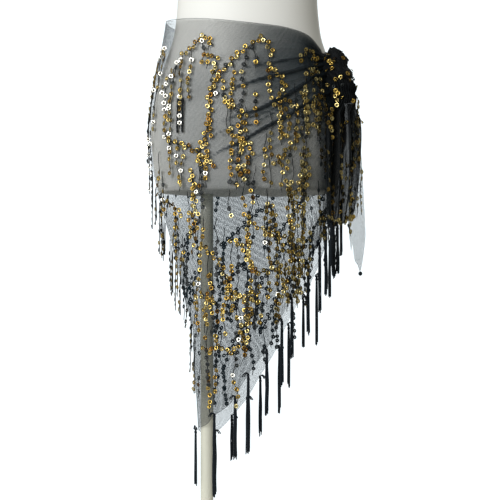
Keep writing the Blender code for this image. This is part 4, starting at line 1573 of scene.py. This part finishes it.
def tip_lines():
    """The small bound knot at the side tail's point, as yarn wound into a ball."""
    low, = read_table(SIDE_TAIL_HEM, TIP_SHARE)
    middle, _ = tail_point(SIDE_TAIL, SIDE_TAIL_PLEATS, TIP_SHARE, low)
    middle.z -= TIP_BEAD_RADIUS + 2 * FIT_GAP
    ball = []
    for step in range(TIP_STEPS + 1):
        turn = 2 * pi * step / TIP_STEPS_ROUND
        lean = pi * step / TIP_STEPS
        radius = (TIP_BEAD_RADIUS - 0.0009) * max(sin(lean), 0.15)
        ball.append(middle + Vector((radius * cos(turn), radius * sin(turn),
                                     (TIP_BEAD_RADIUS - 0.0007) * cos(lean))))
    return [(ball, TIP_GIRTH)]


def nodes_like(prefix):
    """The CAD nodes whose names start this way."""
    return [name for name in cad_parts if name.startswith(prefix)]


# The studio.


def build_studio():
    """A plain pale floor, soft lamps and the camera."""
    scene = bpy.context.scene
    scene.view_settings.view_transform = "Standard"
    floor_shape = bmesh.new()
    bmesh.ops.create_circle(floor_shape, cap_ends=True, segments=FLOOR_SIDES, radius=FLOOR_RADIUS)
    mesh = bpy.data.meshes.new("studio_floor")
    floor_shape.to_mesh(mesh)
    floor_shape.free()
    floor_item = add_object("studio_floor", mesh, floor_material())
    world = bpy.data.worlds.new("studio")
    scene.world = world
    world.use_nodes = True
    nodes = world.node_tree
    nodes.nodes.clear()
    seen = add_node(nodes, "ShaderNodeBackground", {"Color": (1.11, 1.20, 1.24, 1),
                                                    "Strength": 1.0})
    way = add_node(nodes, "ShaderNodeTexCoord").outputs["Generated"]
    parts = add_node(nodes, "ShaderNodeSeparateXYZ", {"Vector": way})
    dim = ranged(nodes, parts.outputs["X"], -0.9, 0.9, 0.47, 0.19)
    lit = add_node(nodes, "ShaderNodeBackground", {"Color": (1.0, 1.0, 0.90, 1),
                                                   "Strength": dim})
    path = add_node(nodes, "ShaderNodeLightPath")
    mixed = add_node(nodes, "ShaderNodeMixShader", {0: path.outputs["Is Camera Ray"],
                                                    1: lit.outputs[0], 2: seen.outputs[0]})
    add_node(nodes, "ShaderNodeOutputWorld", {"Surface": mixed.outputs[0]})
    for lamp in LAMPS:
        add_lamp(*lamp)
    camera = bpy.data.cameras.new("camera")
    camera.sensor_width = SENSOR_WIDTH
    camera.lens = CAMERA_LENS
    holder = bpy.data.objects.new("camera", camera)
    holder.location = CAMERA_PLACE
    holder.rotation_euler = (radians(90), 0, 0)
    scene.collection.objects.link(holder)
    scene.camera = holder


def floor_material():
    """A pale floor that fades out into the white round it."""
    material, tree, shader = new_material("pale_floor")
    away = add_node(tree, "ShaderNodeVectorMath", {0: object_place(tree)}, operation="LENGTH")
    fade = ranged(tree, away.outputs["Value"], 0.34, 0.74, 1.0, 0.0,
                  interpolation_type="SMOOTHSTEP")
    feed(tree, shader, {"Base Color": (0.93, 0.93, 0.93, 1), "Roughness": 0.6,
                        "Emission Color": (1, 1, 1, 1), "Emission Strength": 0.22,
                        "Alpha": fade})
    return material


def add_lamp(name, place, target, size, power, colour):
    """A soft square lamp that looks at a target."""
    lamp = bpy.data.lights.new(name, "AREA")
    lamp.size = size
    lamp.energy = power
    lamp.color = colour
    holder = bpy.data.objects.new(name, lamp)
    holder.location = place
    way = Vector(target) - Vector(place)
    holder.rotation_euler = way.to_track_quat("-Z", "Y").to_euler()
    bpy.context.scene.collection.objects.link(holder)


def build_scarf(materials):
    """The net, its trimming, its tassels, the knot and the tails."""
    threads, sequins = thread_tree(), sequin_tree()
    sequin = unit_sequin()
    net_front = build_net("front", FRONT_FOLDS, *FRONT_GRID, materials)
    net_back = build_net("back", BACK_FOLDS, *BACK_GRID, materials)
    knot = build_knot(materials)
    tail_front = build_tail("tail_front_net", "tail_front", TAIL_TOP_ON_KNOT, front_tail_place,
                            FRONT_TAIL_HEM, FRONT_TAIL_PLEATS, *FRONT_TAIL_GRID, 1.0,
                            materials["bunched"])
    tail_side = build_tail("tail_side_net", "tail_side", SIDE_TAIL[-1][0], side_tail_place,
                           SIDE_TAIL_HEM, SIDE_TAIL_PLEATS, *SIDE_TAIL_GRID, 0.0,
                           materials["net"])
    pieces = [net_front, net_back, knot, tail_front, tail_side]
    trims = {}
    for label, trimming in (("front", trim_front()), ("back", trim_back()),
                            ("tail", trim_knot())):
        trims[label] = [
            build_sequins("sequins_" + label, trimming, sequin, sequins, materials),
            build_threads("threads_" + label, trimming.cords, threads, STRING_RADIUS,
                          STRING_SIDES, materials["cord"]),
        ]
    for label, lines in (("front", hem_tassels("front", FRONT_COLUMNS, FRONT_TASSELS)),
                         ("back", hem_tassels("back", BACK_COLUMNS, BACK_TASSELS)),
                         ("tail", tail_tassel_lines())):
        tassels = build_threads("tassels_" + label, lines, threads, YARN_RADIUS, YARN_SIDES,
                                materials["yarn"])
        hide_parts(*nodes_like("tassel_" + label + "_"))
        trims[label].append(tassels)
    tip = build_threads("tip_knot", tip_lines(), threads, YARN_RADIUS, YARN_SIDES,
                        materials["yarn"])
    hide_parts("tip_bead")
    bpy.data.objects.remove(sequin, do_unlink=True)
    for trim in trims.values():
        pieces += trim
    pieces.append(tip)
    for piece in pieces:
        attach(piece, "root")


materials = make_materials()
hard_pieces = [build_form(materials)] + build_stand(materials)
for hard_piece in hard_pieces:
    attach(hard_piece, "root")
build_scarf(materials)
build_studio()
